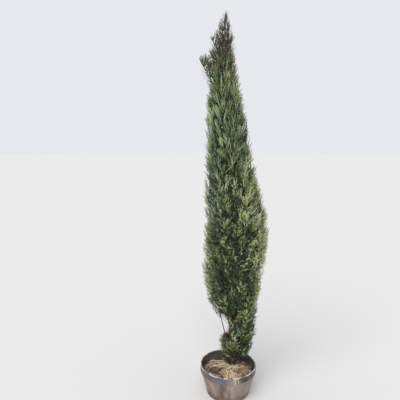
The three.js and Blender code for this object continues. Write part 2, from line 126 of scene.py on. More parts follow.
# The plumes on the left and the leader: name, line, branchlets, how far they reach, longest branchlet.
PLUMES = [
    ("side", [[-27, 0, 1477], [-66, -8, 1521], [-104, -20, 1583], [-142, -26, 1651]], 26, 46, 88),
    ("left_tip", [[-33, 2, 1677], [-56, 0, 1701], [-76, -4, 1739], [-96, -6, 1781]], 10, 26, 60),
    ("leader", [[-35, 3, 1845], [-35, 3, 1863], [-34, 3, 1885], [-33, 3, 1906]], 14, 32, 60),
]
# Fans of the plumes on the left, where sprays stand outside the crown: two ends of a line, and a radius.
PLUME_FANS = [
    ((-64, -6, 1500), (-118, -18, 1680), 30),
    ((-120, -20, 1660), (-154, -26, 1692), 17),
    ((-112, -14, 1690), (-132, -18, 1710), 16),
    ((-82, -8, 1620), (-96, -8, 1712), 24),
    ((-102, -12, 1690), (-113, -12, 1738), 14),
    ((-58, 0, 1705), (-99, -6, 1794), 20),
]
# Dark hollows between the tufts on the crown's front: x, height above the rim, half width, half height.
# There are more round the crown, each turned and moved up or down.
HOLLOWS = [
    (22, 779, 15, 66),
    (-34, 515, 26, 58),
    (24, 322, 18, 40),
    (76, 700, 13, 34),
    (-50, 905, 15, 44),
    (20, 1130, 13, 60),
]
HOLLOW = SimpleNamespace(depth=75, most_aside=0.9, turns=((0, 0), (90, 60), (180, -50), (270, 110)))
BOUGH = SimpleNamespace(share=0.2, taper=0.72, flare=0.5)
# A mass's own stem. One without a bough comes out of the trunk by latest, a share of its line.
STEM = SimpleNamespace(radius=4.2, tip=1.5, latest=0.5, step=0.01, points=13, sides=6)
BRANCHLET = SimpleNamespace(
    longest=175, shortest=40, step=6, root_share=0.3, lowest=0.03, highest=0.97, per_reach=3,
    most_lean=40, lean_spread=0.6, bearing_spread=266, tip_sunk=18, tip_stem=0.9, least_share=0.35,
    knee=0.18, seed_step=97,
)
TWIG = SimpleNamespace(radius=1.1, more=0.9, full_length=150, least_share=0.3, taper=0.75, points=5)
TUFT = SimpleNamespace(size=(46, 46, 150), strength=2.0, setback=34)
SPACE = SimpleNamespace(between=2.2, off_limbs=1.8, march=3, samples=14, trunk_samples=24)
# Sprays grow on the branchlets, and cord-like shoots on the sprays. Most pairs are for the low and the high
# part of the crown, and between is the stretch of heights where the one goes over to the other.
# plume_reach is how far from a fan's middle sprays may end: the least and the most feathered one.
SPRAY = SimpleNamespace(
    spacing=9.5, fewest=3, lowest=0.12, longest=(50, 74), shortest=(22, 30), angle=(36, 19), angle_spread=12,
    lift=(0.2, 0.45), between=(900, 1500), radius=1.0, sunk=1.5, widest=0.12, last=34, last_at=0.97,
    last_angle=0.08, over=9, least_over=0.6, over_share=0.2, cuts=(1, 0.8, 0.62, 0.46, 0.32),
    plume_reach=(0.72, 1.3), clear=12, tint_at=0.7,
)
SHOOT = SimpleNamespace(
    spacing=2.7, fewest=4, longest=(14, 10), shortest=5, angle=(38, 24), angle_spread=12, last_angle=0.05,
    twist=0.45, lift=0.15, radius=1.3, widest=0.42,
)
# Near the top sprays stand closer, and sprays and shoots are shorter but no thinner, as shares.
FINE = SimpleNamespace(between=(1620, 1950), spacing=0.8, spray=0.76, shoot=0.62, radius=1.05)
# Deep in the crown the shoots stand further apart and are larger.
DEEP = SimpleNamespace(depth=28, spacing=11.5, size=1.85)
# Large shoots deeper still, which keep the crown from being seen through; their dark colour is painted
# shade.
INNER = SimpleNamespace(
    per_branchlet=6, furthest=0.62, longest=46, shortest=26, radius=3.0, widest=0.45, deeper_than=24,
)
# Branchlets that fill the crown: a grid of places to try, how near they stand to each other, and how far
# they keep below the outline, in the grooves between masses and elsewhere.
FILL = SimpleNamespace(
    widest=230, step=20, goes=3, skin=2, edge=2, off_trunk=8, near=31.5, lean=38,
    marks=(0.35, 0.55, 0.75, 0.9, 1.0), root_share=(0.5, 0.5, 0.25), groove=26, groove_width=40,
    narrow=(50, 170), closer=0.5, closer_sides=0.08, foot=(POT.height + 150, POT.height + 50),
    thin_foot=0.35, plume_reach=0.92, plume_near=0.74,
)


def make_draw(seed):
    """Seeded draws from 0 to 1, the same as the solids' own."""
    state = seed

    def draw():
        nonlocal state
        state = (state * 1664525 + 1013904223) & 0xFFFFFFFF
        return state / 4294967296

    return draw


def heading(bearing):
    """The level unit vector at a bearing in radians."""
    return np.array([math.cos(bearing), math.sin(bearing), 0])


def unit(vectors):
    return vectors / np.maximum(np.linalg.norm(vectors, axis=-1, keepdims=True), 1e-9)


def share_between(values, ends):
    """How far values are from the one end to the other, from 0 to 1."""
    start, end = ends
    return np.clip((values - start) / (end - start), 0, 1)


def going_over(pair, share):
    """The first value of a pair going over to the second."""
    return pair[0] + (pair[1] - pair[0]) * share


def level_distance(points, centres):
    return np.hypot(points[:, 0] - centres[:, 0], points[:, 1] - centres[:, 1])


def quadratic(start, knee, end, t):
    """Points of a quadratic curve at shares t of it."""
    return start * (1 - t) ** 2 + 2 * knee * t * (1 - t) + end * t**2


def rows_at(table, heights):
    """The rows of a table at some heights, by a smooth cubic through its rows."""
    z = np.clip(heights, table[0, 0], table[-1, 0])
    last = len(table) - 1
    i = np.clip(np.searchsorted(table[:, 0], z) - 1, 0, last - 1)
    a, b = table[i], table[i + 1]
    before, after = table[np.maximum(i - 1, 0)], table[np.minimum(i + 2, last)]
    span = (b - a)[:, :1]
    t = (z - a[:, 0])[:, None] / span
    slope_a = (b - before) / (b - before)[:, :1]
    slope_b = (after - a) / (after - a)[:, :1]
    bend = t * (1 - t) * ((1 - t) * slope_a - t * slope_b) * span
    return a + (b - a) * t * t * (3 - 2 * t) + bend


def crown_at(heights):
    """The crown's centre and radius at some heights, as an array of x, y and radius."""
    heights = np.atleast_1d(np.asarray(heights, float))
    crown = rows_at(CROWN, heights)
    return np.column_stack([crown[:, 1], rows_at(TRUNK_LINE, heights)[:, 2], crown[:, 2]])


def depth_in_crown(points):
    """How deep points are inside the crown's outline, measured level. It is negative outside."""
    crown = crown_at(points[:, 2])
    return crown[:, 2] - level_distance(points, crown)


def in_crown(points, over=0.0, clear=0.0):
    """True where points are in the crown, or outside it by no more than over, and not in its opening."""
    aside = np.abs(points[:, 0] - OPENING.x) / (OPENING.half_width + clear)
    above = np.abs(points[:, 2] - OPENING.z) / (OPENING.half_height + clear)
    in_opening = aside**OPENING.squareness + above**OPENING.squareness < 1
    level = (points[:, 2] > CROWN[0, 0] - over) & (points[:, 2] < CROWN[-1, 0])
    return level & ~in_opening & (depth_in_crown(points) > -over)


def hollow_frames():
    """The middles of the hollows, their directions outwards and their sizes."""
    middles, outs, sizes = [], [], []
    for turn, lift in HOLLOW.turns:
        for x, height, wide, high in HOLLOWS:
            z = POT.height + height + lift
            centre_x, centre_y, radius = crown_at(z)[0]
            aside = np.clip((x - centre_x) / radius, -HOLLOW.most_aside, HOLLOW.most_aside)
            out = heading(-math.acos(aside) + math.radians(turn))
            middles.append([centre_x, centre_y, z] + out * radius)
            outs.append(out)
            sizes.append([HOLLOW.depth, wide, high])
    return np.array(middles), np.array(outs), np.array(sizes)


HOLLOW_MIDDLES, HOLLOW_OUTS, HOLLOW_SIZES = hollow_frames()


def in_hollow(points):
    """True where points are in one of the hollows between the tufts."""
    offset = points[:, None, :] - HOLLOW_MIDDLES
    outwards = (offset * HOLLOW_OUTS).sum(-1)
    across = offset[..., 1] * HOLLOW_OUTS[:, 0] - offset[..., 0] * HOLLOW_OUTS[:, 1]
    scaled = np.stack([outwards, across, offset[..., 2]], axis=-1) / HOLLOW_SIZES
    return ((scaled**2).sum(-1) < 1).any(axis=1)


def bezier(line, u):
    """Points of a cubic Bezier line."""
    u = np.atleast_1d(np.asarray(u, float))[:, None]
    a, b, c, d = line
    return a * (1 - u) ** 3 + 3 * b * u * (1 - u) ** 2 + 3 * c * u**2 * (1 - u) + d * u**3


def bezier_tangent(line, u):
    u = np.atleast_1d(np.asarray(u, float))[:, None]
    a, b, c, d = line
    return unit(3 * (b - a) * (1 - u) ** 2 + 6 * (c - b) * u * (1 - u) + 3 * (d - c) * u**2)


def segment_distances(points, starts, ends, radii_a=0.0, radii_b=0.0):
    """Distances from points to segments, less the segments' radii, as points by segments."""
    along = ends - starts
    to_point = points[:, None, :] - starts[None, :, :]
    t = np.clip((to_point * along).sum(-1) / (along * along).sum(-1), 0, 1)
    away = np.linalg.norm(to_point - t[..., None] * along, axis=-1)
    return away - (radii_a + (radii_b - radii_a) * t)


def tier_line(tier, index, draw):
    """The line of one bough and of the mass that it carries: out from the trunk, then up in the crown."""
    swing = (draw() - 0.5) * TIER_CURVE.bearing_spread
    out = heading(math.radians(tier["turn"] + 360 * index / tier["count"] + swing))
    top = POT.height + tier["top"] + (draw() - 0.5) * TIER_CURVE.top_spread
    leave = POT.height + tier["leave"] + tier["stagger"] * ((2 * index) % tier["count"]) / tier["count"]
    root = rows_at(TRUNK_LINE, np.array([leave]))[0]

    def point_up(share, reach):
        z = leave + (top - leave) * share
        x, y, radius = crown_at(max(z, CROWN[1, 0]))[0]
        return np.array([x, y, z]) + out * radius * tier["out"] * reach

    ends = [point_up(*TIER_CURVE.first), point_up(*TIER_CURVE.second), point_up(1, 1)]
    return out, np.array([[root[1], root[2], leave], *ends])


def leaves_trunk(line):
    """Where along its line a stem that starts in the trunk comes out of it."""
    u = np.arange(0, STEM.latest, STEM.step)
    points = bezier(line, u)
    trunk = rows_at(TRUNK_LINE, points[:, 2])
    outside = level_distance(points, trunk[:, 1:3]) > trunk[:, 3] + STEM.radius
    return u[np.argmax(outside)] if outside.any() else STEM.latest


def stem_start(mass):
    """Where along its line a mass's own stem begins: at its bough's end or where it leaves the trunk."""
    if mass.bough:
        return BOUGH.share
    return 0 if mass.name == "leader" else leaves_trunk(mass.line)


def plan_masses():
    """A plain record of every mass: its line, where its bough ends and how far it may reach."""
    draw = make_draw(SEED)
    plan = []
    for tier in TIERS:
        for i in range(tier["count"]):
            out, line = tier_line(tier, i, draw)
            plan.append(SimpleNamespace(
                name=f"{tier['name']}_{i + 1}", out=out, line=line, bough=tier["bough"], reach=0,
                branchlets=tier["branchlets"], longest=BRANCHLET.longest,
            ))
    for name, points, branchlets, reach, longest in PLUMES:
        line = np.array(points, float) + [0, 0, POT.height]
        out = (line[3] - line[0]) * [1, 1, 0]
        if np.linalg.norm(out) < STEM.radius:
            out = np.array([1.0, 0, 0])
        plan.append(SimpleNamespace(
            name=name, out=unit(out), line=line, bough=0, reach=reach, branchlets=branchlets,
            longest=longest,
        ))
    for i, mass in enumerate(plan):
        mass.index = i
        mass.start = stem_start(mass)
        mass.axis = bezier(mass.line, np.linspace(mass.start, 1, SPACE.samples + 1))
    return plan


MASSES = plan_masses()
MASS_NODES = [f"foliage_{mass.name}" for mass in MASSES]
AXIS_STARTS = np.concatenate([mass.axis[:-1] for mass in MASSES])
AXIS_ENDS = np.concatenate([mass.axis[1:] for mass in MASSES])
TRUNK_HEIGHTS = np.linspace(TRUNK_LINE[0, 0], TRUNK_LINE[-1, 0], SPACE.trunk_samples + 1)
TRUNK_ROWS = rows_at(TRUNK_LINE, TRUNK_HEIGHTS)
TRUNK_POINTS = TRUNK_ROWS[:, [1, 2, 0]]


def distances_to_masses(points):
    """The distance from each point to each mass's stem."""
    away = segment_distances(points, AXIS_STARTS, AXIS_ENDS)
    return away.reshape(len(points), len(MASSES), SPACE.samples).min(axis=2)


def in_groove(points):
    """How much points are in a groove between two masses, from 0 to 1."""
    nearest = np.sort(distances_to_masses(points), axis=1)
    return np.clip(1 - (nearest[:, 1] - nearest[:, 0]) / FILL.groove_width, 0, 1)


def tuft(points):
    """Tall tufts and the gaps between them, as a smooth noise from about -1 to 1."""
    scaled = points / TUFT.size
    return TUFT.strength * np.array([noise.noise(Vector(point)) for point in scaled])


def in_space(mass, points):
    """True where points are in this mass's own share of the crown and clear of the trunk."""
    away = distances_to_masses(points)
    own = away[:, mass.index].copy()
    away[:, mass.index] = np.inf
    off_trunk = segment_distances(
        points, TRUNK_POINTS[:-1], TRUNK_POINTS[1:], TRUNK_ROWS[:-1, 3], TRUNK_ROWS[1:, 3]
    ).min(axis=1)
    allowed = in_crown(points) | (own < mass.reach)
    return allowed & (off_trunk > SPACE.off_limbs) & (away.min(axis=1) > own + SPACE.between)


def reach_along(mass, start, direction):
    """How far a ray from the mass's stem stays in the mass's own space."""
    steps = np.arange(SPACE.march, BRANCHLET.longest, SPACE.march)
    fits = in_space(mass, start + direction * steps[:, None])
    return steps[-1] if fits.all() else steps[np.argmin(fits)] - SPACE.march


def fitted_length(mass, root, direction, longest):
    """The longest branchlet that fits in the mass's space, or 0."""
    shortest = min(BRANCHLET.shortest, longest)
    lengths = np.arange(longest, shortest - 0.5 * BRANCHLET.step, -BRANCHLET.step)
    fits = in_space(mass, root + direction * lengths[:, None])
    return lengths[np.argmax(fits)] if fits.any() else 0


def plan_branchlets(mass):
    """Where one mass's branchlets go: up the stem by the golden angle, most on the outer side."""
    draw = make_draw(SEED + BRANCHLET.seed_step * (mass.index + 1))
    home = math.atan2(mass.out[1], mass.out[0])
    found = []
    for k in range(mass.branchlets):
        share = (k + 0.25 + 0.5 * draw()) / mass.branchlets
        share = BRANCHLET.lowest + (BRANCHLET.highest - BRANCHLET.lowest) * share
        u = mass.start + (1 - mass.start) * share
        swing = ((k * GOLDEN_ANGLE) / 360 + draw() / 12) % 1 - 0.5
        outward = heading(home + math.radians(swing * BRANCHLET.bearing_spread))
        stem = bezier(mass.line, u)[0]
        reach = reach_along(mass, stem, outward)
        full = min(mass.longest, max(BRANCHLET.shortest, reach * BRANCHLET.per_reach))
        to_edge = math.asin(min(1, reach * (1 - BRANCHLET.root_share) / full))
        lean = to_edge * (1 + BRANCHLET.lean_spread * (draw() - 0.5))
        lean = min(lean, math.radians(BRANCHLET.most_lean))
        direction = unit(bezier_tangent(mass.line, u)[0] * math.cos(lean) + outward * math.sin(lean))
        root = stem + outward * reach * BRANCHLET.root_share
        length = fitted_length(mass, root, direction, full)
        if length:
            found.append(planned(mass, stem, root, root + direction * length))
    end = bezier_tangent(mass.line, 1)[0]
    root = mass.line[3] - end * BRANCHLET.tip_sunk
    length = fitted_length(mass, root, end, mass.longest)
    if length:
        stem = bezier(mass.line, BRANCHLET.tip_stem)[0]
        found.append(planned(mass, stem, root, root + end * length))
    return found


def planned(mass, stem, root, end):
    """A branchlet from the stem by its root to near its end, which its last spray reaches."""
    length = np.linalg.norm(end - root)
    tip = root + (end - root) * max(1 - SPRAY.last / length, BRANCHLET.least_share)
    knee = root + (tip - root) * BRANCHLET.knee
    return SimpleNamespace(mass=mass, stem=stem, knee=knee, tip=tip)


def from_plume(points):
    """How far points are from the middle of the nearest fan on the left, in shares of its radius."""
    shares = []
    for start, end, radius in PLUME_FANS:
        line = np.array([start, end], float) + [0, 0, POT.height]
        shares.append(segment_distances(points, line[:1], line[1:])[:, 0] / radius)
    return np.min(shares, axis=0)


def places_to_fill(rng):
    """Places that may have a branchlet's end, how near it may be to others, and the numbers to try."""
    across = np.arange(-FILL.widest, FILL.widest, FILL.step)
    up = np.arange(CROWN[0, 0], CROWN[-1, 0], FILL.step)
    places = np.stack(np.meshgrid(across, across, up, indexing="ij"), axis=-1).reshape(-1, 3)
    places = np.tile(places, (FILL.goes, 1))
    places += rng.uniform(-0.5, 0.5, places.shape) * FILL.step
    plume = from_plume(places) < FILL.plume_reach
    in_place = (in_crown(places, 0, SPRAY.clear) | plume) & ~in_hollow(places)
    places, plume = places[in_place], plume[in_place]
    # Where the crown is narrow the grooves go, and the branchlets stand closer together.
    crown = crown_at(places[:, 2])
    wide = share_between(crown[:, 2], FILL.narrow)
    # The gaps between tufts are shallow at the left and right, so that the outline keeps its shape.
    to_side = np.clip(np.abs(places[:, 0] - crown[:, 0]) / crown[:, 2], 0, 1)
    gap = FILL.groove * in_groove(places) + TUFT.setback * np.clip(-tuft(places), 0, 1)
    deeper_than = FILL.skin + (FILL.edge + gap * (1 - to_side**3)) * wide
    near = FILL.near * (1 - FILL.closer * (1 - wide)) * (1 - FILL.closer_sides * to_side**3)
    # The foot of the crown is thin, and open between its stems.
    near *= 1 + FILL.thin_foot * share_between(places[:, 2], FILL.foot)
    near[plume] *= FILL.plume_near
    trunk = rows_at(TRUNK_LINE, places[:, 2])
    off_trunk = level_distance(places, trunk[:, 1:3]) - trunk[:, 3]
    inside = (depth_in_crown(places) > deeper_than) | plume
    return places, near, np.flatnonzero(inside & (off_trunk > FILL.off_trunk))


def fill_branchlets(plans):
    """More branchlets, one for each place in the crown that has none near it."""
    rng = np.random.default_rng(SEED + 1)
    places, near, chosen = places_to_fill(rng)
    owner = distances_to_masses(places).argmin(axis=1)
    taken = np.concatenate([curve_points(plan, FILL.marks) for plan in plans])
    added = []
    for i in rng.permutation(chosen):
        place = places[i]
        if np.linalg.norm(taken - place, axis=1).min() < near[i]:
            continue
        mass = MASSES[owner[i]]
        level = level_distance(mass.axis, place[None])
        below = place[2] - mass.axis[:, 2] > level / math.tan(math.radians(FILL.lean))
        stem = mass.axis[np.flatnonzero(below)[-1] if below.any() else 0]
        root = stem + (place - stem) * FILL.root_share
        plan = planned(mass, stem, root, place)
        added.append(plan)
        taken = np.concatenate([taken, curve_points(plan, FILL.marks)])
    return added


def curve_points(plan, shares):
    """Points of a branchlet: a quadratic curve from the stem by its knee to its tip."""
    return quadratic(plan.stem, plan.knee, plan.tip, np.asarray(shares)[:, None])


def perpendicular(directions, turn):
    """Unit vectors square to directions, turned round them by turn in radians."""
    reference = np.where(np.abs(directions[:, 2:]) > 0.9, [[0.0, 1.0, 0.0]], [[0.0, 0.0, 1.0]])
    side = unit(np.cross(directions, reference))
    other = np.cross(directions, side)
    return side * np.cos(turn)[:, None] + other * np.sin(turn)[:, None]


def swung(directions, angles, turns):
    """Directions swung aside by angles, each towards its own turn."""
    aside = perpendicular(directions, turns)
    return directions * np.cos(angles)[:, None] + aside * np.sin(angles)[:, None]


def spindles(rng, roots, directions, lengths, radii, widest):
    """Three-sided spindles, pointed at both ends and turned by chance: 5 corners and 6 faces each."""
    n = len(roots)
    turn = rng.uniform(0, 2, n)
    corners = np.empty((n, 5, 3))
    corners[:, 0] = roots
    corners[:, 4] = roots + directions * lengths[:, None]
    middle = roots + directions * (lengths * widest)[:, None]
    for i in range(3):
        corners[:, 1 + i] = middle + perpendicular(directions, turn + i * 2 * math.pi / 3) * radii[:, None]
    faces = np.array([[0, 2, 1], [0, 3, 2], [0, 1, 3], [4, 1, 2], [4, 2, 3], [4, 3, 1]])
    return corners.reshape(-1, 3), (faces[None] + 5 * np.arange(n)[:, None, None]).reshape(-1, 3)


def tubes(lines, radii, sides):
    """Tapering tubes along lines (tubes by points by 3), closed at both ends."""
    n, m = lines.shape[:2]
    tangents = unit(np.gradient(lines, axis=1)).reshape(-1, 3)
    centres = lines.reshape(-1, 3)
    rings = np.empty((n * m, sides, 3))
    for i in range(sides):
        turn = np.full(n * m, i * 2 * math.pi / sides)
        rings[:, i] = centres + perpendicular(tangents, turn) * radii.reshape(-1)[:, None]
    faces = []
    for i in range(m - 1):
        for k in range(sides):
            a, b = i * sides + k, i * sides + (k + 1) % sides
            faces += [[a, b, b + sides], [a, b + sides, a + sides]]
    last = (m - 1) * sides
    for k in range(1, sides - 1):
        faces += [[0, k + 1, k], [last, last + k, last + k + 1]]
    faces = np.array(faces)
    return rings.reshape(-1, 3), (faces[None] + m * sides * np.arange(n)[:, None, None]).reshape(-1, 3)


def joined(parts):
    """Several (corners, faces) pairs as one."""
    corners, faces, count = [], [], 0
    for part_corners, part_faces in parts:
        corners.append(part_corners)
        faces.append(part_faces + count)
        count += len(part_corners)
    return np.concatenate(corners), np.concatenate(faces)


# Tints of the foliage: the colour as sRGB from 0 to 255, and how common the tint is. The dark, shade and
# deep tints also paint shade deep in the crown, in its grooves and at its foot.
TINTS = {
    "dark": ((54, 60, 44), 0),
    "shade": ((82, 94, 68), 0.3),
    "deep": ((120, 140, 96), 0.55),
    "green": ((154, 180, 118), 0.9),
    "moss": ((170, 182, 110), 0.6),
    "grey_green": ((188, 202, 154), 0.95),
    "pale": ((220, 226, 176), 0.45),
    "blue_green": ((138, 174, 146), 0.2),
    "olive": ((152, 142, 100), 0.15),
    "yellow_green": ((210, 210, 140), 0.08),
    "bronze": ((108, 88, 86), 0.02),
    "dead": ((210, 172, 134), 0.012),
}
# The colour of the large inner shoots: dark, as painted shade deep in the crown.
INNER_SHADE_TINT = (56, 62, 46)
# Patches with more of a tint: how much more, x, height above the rim, half width and half height. The dark
# patches are painted shade in dark pockets low in the crown.
TINT_PATCHES = {
    "dark": [(1.6, -28, 530, 46, 90), (2.2, 10, 330, 60, 90)],
    "shade": [
        (0.8, 70, 560, 70, 120), (1.5, -40, 540, 60, 110), (2.4, -110, 570, 50, 110),
        (1.4, -110, 1050, 60, 210), (0.9, -120, 790, 50, 150), (0.9, -40, 1400, 80, 140),
    ],
    "deep": [(2.0, -70, 1540, 50, 60), (2.0, 40, 1330, 60, 160)],
    "moss": [(2.2, 40, 850, 80, 160)],
    "grey_green": [(2.6, 50, 840, 80, 180), (2.0, -110, 760, 40, 150)],
    "pale": [
        (4.0, 150, 760, 80, 190), (0.6, 60, 640, 40, 140), (1.7, 30, 800, 70, 160), (0.7, 60, 1100, 60, 120),
    ],
    "blue_green": [(2.6, -110, 1000, 50, 260), (1.4, -130, 700, 60, 160)],
    "olive": [(1.5, 0, 1560, 60, 90), (1.0, 120, 1000, 80, 200), (1.2, 150, 820, 60, 120)],
    "yellow_green": [(3.2, 180, 720, 60, 170)],
    "dead": [(5.0, 40, 318, 14, 34), (0.3, 140, 1180, 40, 60), (1.4, 165, 863, 32, 60)],
}
# An olive patch that lies over the brown near the tip.
TIP_PATCH = (3.0, -18, 1660, 36, 66)
# The patches are on the front. Behind a plane of y they are repeated, with x as mirror less x.
FAR_SIDE = SimpleNamespace(behind=40, mirror=30)
# Where the tints change, from none to full: heights above the rim, and depths in the crown. The depths and
# the low and foot heights ramp in painted shade.
TINT_PLACES = SimpleNamespace(
    high=(1050, 1250), brown=(1610, 1720), brown_plume=(1575, 1665), low=(440, 110), foot=(210, 90),
    inside=(10, 70), shaded_inside=(24, 56),
)
# Ends of branchlets with a painted highlight, in the lightest tints: from this share along, no deeper than
# this, and below this height.
HIGHLIT_ENDS = SimpleNamespace(along=0.6, depth=32, below=1600)
# The share of sprays that take their branchlet's tint.
LIKE_BRANCHLET = 0.55


def linear(colour):
    """An sRGB colour from 0 to 255 as a linear RGBA one."""
    shares = [value / 255 for value in colour]
    return [s / 12.92 if s <= 0.04045 else ((s + 0.055) / 1.055) ** 2.4 for s in shares] + [1.0]


def put(name, data):
    """An object in the scene."""
    thing = bpy.data.objects.new(name, data)
    bpy.context.scene.collection.objects.link(thing)
    return thing


def made_mesh(name, corners, faces, material):
    """A smooth mesh from corners in millimetres and triangles, riding on the root body."""
    mesh = bpy.data.meshes.new(name)
    mesh.from_pydata(corners * MM, [], faces, shade_flat=False)
    mesh.validate()
    mesh.materials.append(material)
    piece = put(name, mesh)
    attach(piece, "root")
    return piece


def node_material(name, roughness):
    """A material with its node tree and shader, for a base colour that comes from nodes."""
    material = bpy.data.materials.new(name)
    material.use_nodes = True
    tree = material.node_tree
    shader = tree.nodes["Principled BSDF"]
    shader.inputs["Roughness"].default_value = roughness
    shader.inputs["Specular IOR Level"].default_value = 0.3
    return material, tree, shader


def plain_material(name, colour, roughness):
    material, _, shader = node_material(name, roughness)
    shader.inputs["Base Color"].default_value = linear(colour)
    return material


def ends_well(points, feather):
    """True where the ends of sprays are in the crown or in a plume.

    feather, from 0 to 1, says which sprays may stand out the furthest.
    """
    over = SPRAY.over * (SPRAY.least_over + feather)
    over = np.minimum(over, SPRAY.over_share * crown_at(points[:, 2])[:, 2])
    in_plume = from_plume(points) < going_over(SPRAY.plume_reach, feather)
    in_place = in_crown(points, over, SPRAY.clear) | in_plume
    return in_place & ~in_hollow(points)


def finer(share, fine):
    """What a size is multiplied by: from 1 where fine is 0 to the share where it is 1."""
    return 1 - (1 - share) * fine


def numbered(counts):
    """For every one of several counts of things: whose it is, and its number there."""
    return np.repeat(np.arange(len(counts)), counts), np.concatenate([np.arange(c) for c in counts])


def grow_branchlets():
    """The branchlets of all masses and those that fill the crown, as arrays."""
    plans = [plan for mass in MASSES for plan in plan_branchlets(mass)]
    plans += fill_branchlets(plans)
    stem = np.array([plan.stem for plan in plans])
    knee = np.array([plan.knee for plan in plans])
    tip = np.array([plan.tip for plan in plans])
    return SimpleNamespace(
        stem=stem, knee=knee, tip=tip, mass=np.array([plan.mass.index for plan in plans]),
        length=np.linalg.norm(knee - stem, axis=1) + np.linalg.norm(tip - knee, axis=1),
        fine=share_between(tip[:, 2], FINE.between),
    )


def branchlet_tubes(branchlets):
    stem, knee, tip = branchlets.stem[:, None], branchlets.knee[:, None], branchlets.tip[:, None]
    steps = np.linspace(0, 1, TWIG.points)
    thick = TWIG.radius + TWIG.more * np.clip(branchlets.length / TWIG.full_length, TWIG.least_share, 1)
    return tubes(quadratic(stem, knee, tip, steps[:, None]), thick[:, None] * (1 - TWIG.taper * steps), 3)


def grow_sprays(rng, branchlets):
    """Sprays round each branchlet by the golden angle, the last one going on from its tip."""
    counts = (branchlets.length / SPRAY.spacing / finer(FINE.spacing, branchlets.fine)).astype(int)
    counts = np.maximum(SPRAY.fewest, counts)
    owner, number = numbered(counts)
    n = len(owner)
    share = (number + rng.uniform(0.1, 0.9, n)) / counts[owner]
    is_last = number == counts[owner] - 1
    v = np.where(is_last, SPRAY.last_at, SPRAY.lowest + (1 - SPRAY.lowest) * share)
    stem, knee, tip = branchlets.stem[owner], branchlets.knee[owner], branchlets.tip[owner]
    root = quadratic(stem, knee, tip, v[:, None])
    along = unit((knee - stem) * (1 - v[:, None]) + (tip - knee) * v[:, None])
    turn = np.radians(number * GOLDEN_ANGLE) + rng.uniform(-0.5, 0.5, n)
    high = share_between(root[:, 2], SPRAY.between)
    angle = np.radians(going_over(SPRAY.angle, high) + SPRAY.angle_spread * rng.uniform(-1, 1, n))
    direction = swung(along, np.where(is_last, SPRAY.last_angle, angle), turn)
    direction[:, 2] += going_over(SPRAY.lift, high)
    direction = unit(direction)
    shortest = going_over(SPRAY.shortest, high)
    length = (going_over(SPRAY.longest, high) - shortest) * (1 - v) ** 0.6 + shortest
    length = length * rng.uniform(0.75, 1.2, n) * finer(FINE.spray, branchlets.fine[owner])
    length = np.where(is_last, SPRAY.last, length)
    # A spray that would leave the crown is cut back, or left out.
    share_kept = np.zeros(n)
    feather = rng.uniform(0, 1, n) ** 2
    for cut in SPRAY.cuts:
        fits = ends_well(root + direction * (length * cut)[:, None], feather)
        share_kept = np.where((share_kept == 0) & fits, cut, share_kept)
    kept = share_kept > 0
    owner, v, direction, root = owner[kept], v[kept], direction[kept], root[kept]
    length = (length * share_kept)[kept]
    end = root + direction * length[:, None]
    return SimpleNamespace(
        owner=owner, v=v, root=root, direction=direction, length=length, depth=depth_in_crown(end),
        groove=in_groove(end), fine=branchlets.fine[owner],
    )


def grow_shoots(rng, sprays):
    """Shoots on both sides of each spray, flattened but for a small twist."""
    deep = sprays.depth > DEEP.depth
    counts = (sprays.length / np.where(deep, DEEP.spacing, SHOOT.spacing)).astype(int)
    counts = np.maximum(SHOOT.fewest, counts)
    of, number = numbered(counts)
    n = len(of)
    w = (number + 0.5) / counts[of]
    plane = rng.uniform(0, 2 * math.pi, len(sprays.root))
    turn = plane[of] + np.where(number % 2 == 0, 0, math.pi) + rng.normal(0, SHOOT.twist, n)
    is_last = number == counts[of] - 1
    high = share_between(sprays.root[:, 2], SPRAY.between)[of]
    angle = np.radians(going_over(SHOOT.angle, high) + SHOOT.angle_spread * rng.uniform(-1, 1, n))
    direction = swung(sprays.direction[of], np.where(is_last, SHOOT.last_angle, angle), turn)
    length = going_over(SHOOT.longest, high) * np.clip(1.1 - w, 0, 1) ** 0.7 * np.minimum(1, 0.6 + 2 * w)
    length = np.maximum(length * rng.uniform(0.7, 1.15, n), SHOOT.shortest)
    radius = SHOOT.radius * rng.uniform(0.85, 1.15, n)
    size = np.where(deep[of], DEEP.size, 1)
    return SimpleNamespace(
        of=of, direction=unit(direction + [0, 0, SHOOT.lift]),
        root=sprays.root[of] + sprays.direction[of] * (sprays.length[of] * w)[:, None],
        length=length * size * finer(FINE.shoot, sprays.fine[of]),
        radius=radius * size * finer(FINE.radius, sprays.fine[of]),
    )


def patch(across, height, row):
    """How much more of a tint there is at places on the front, from one of its patches."""
    amount, at_x, at_height, wide, high = row
    return amount * np.exp(-(((across - at_x) / wide) ** 2) - ((height - at_height) / high) ** 2)


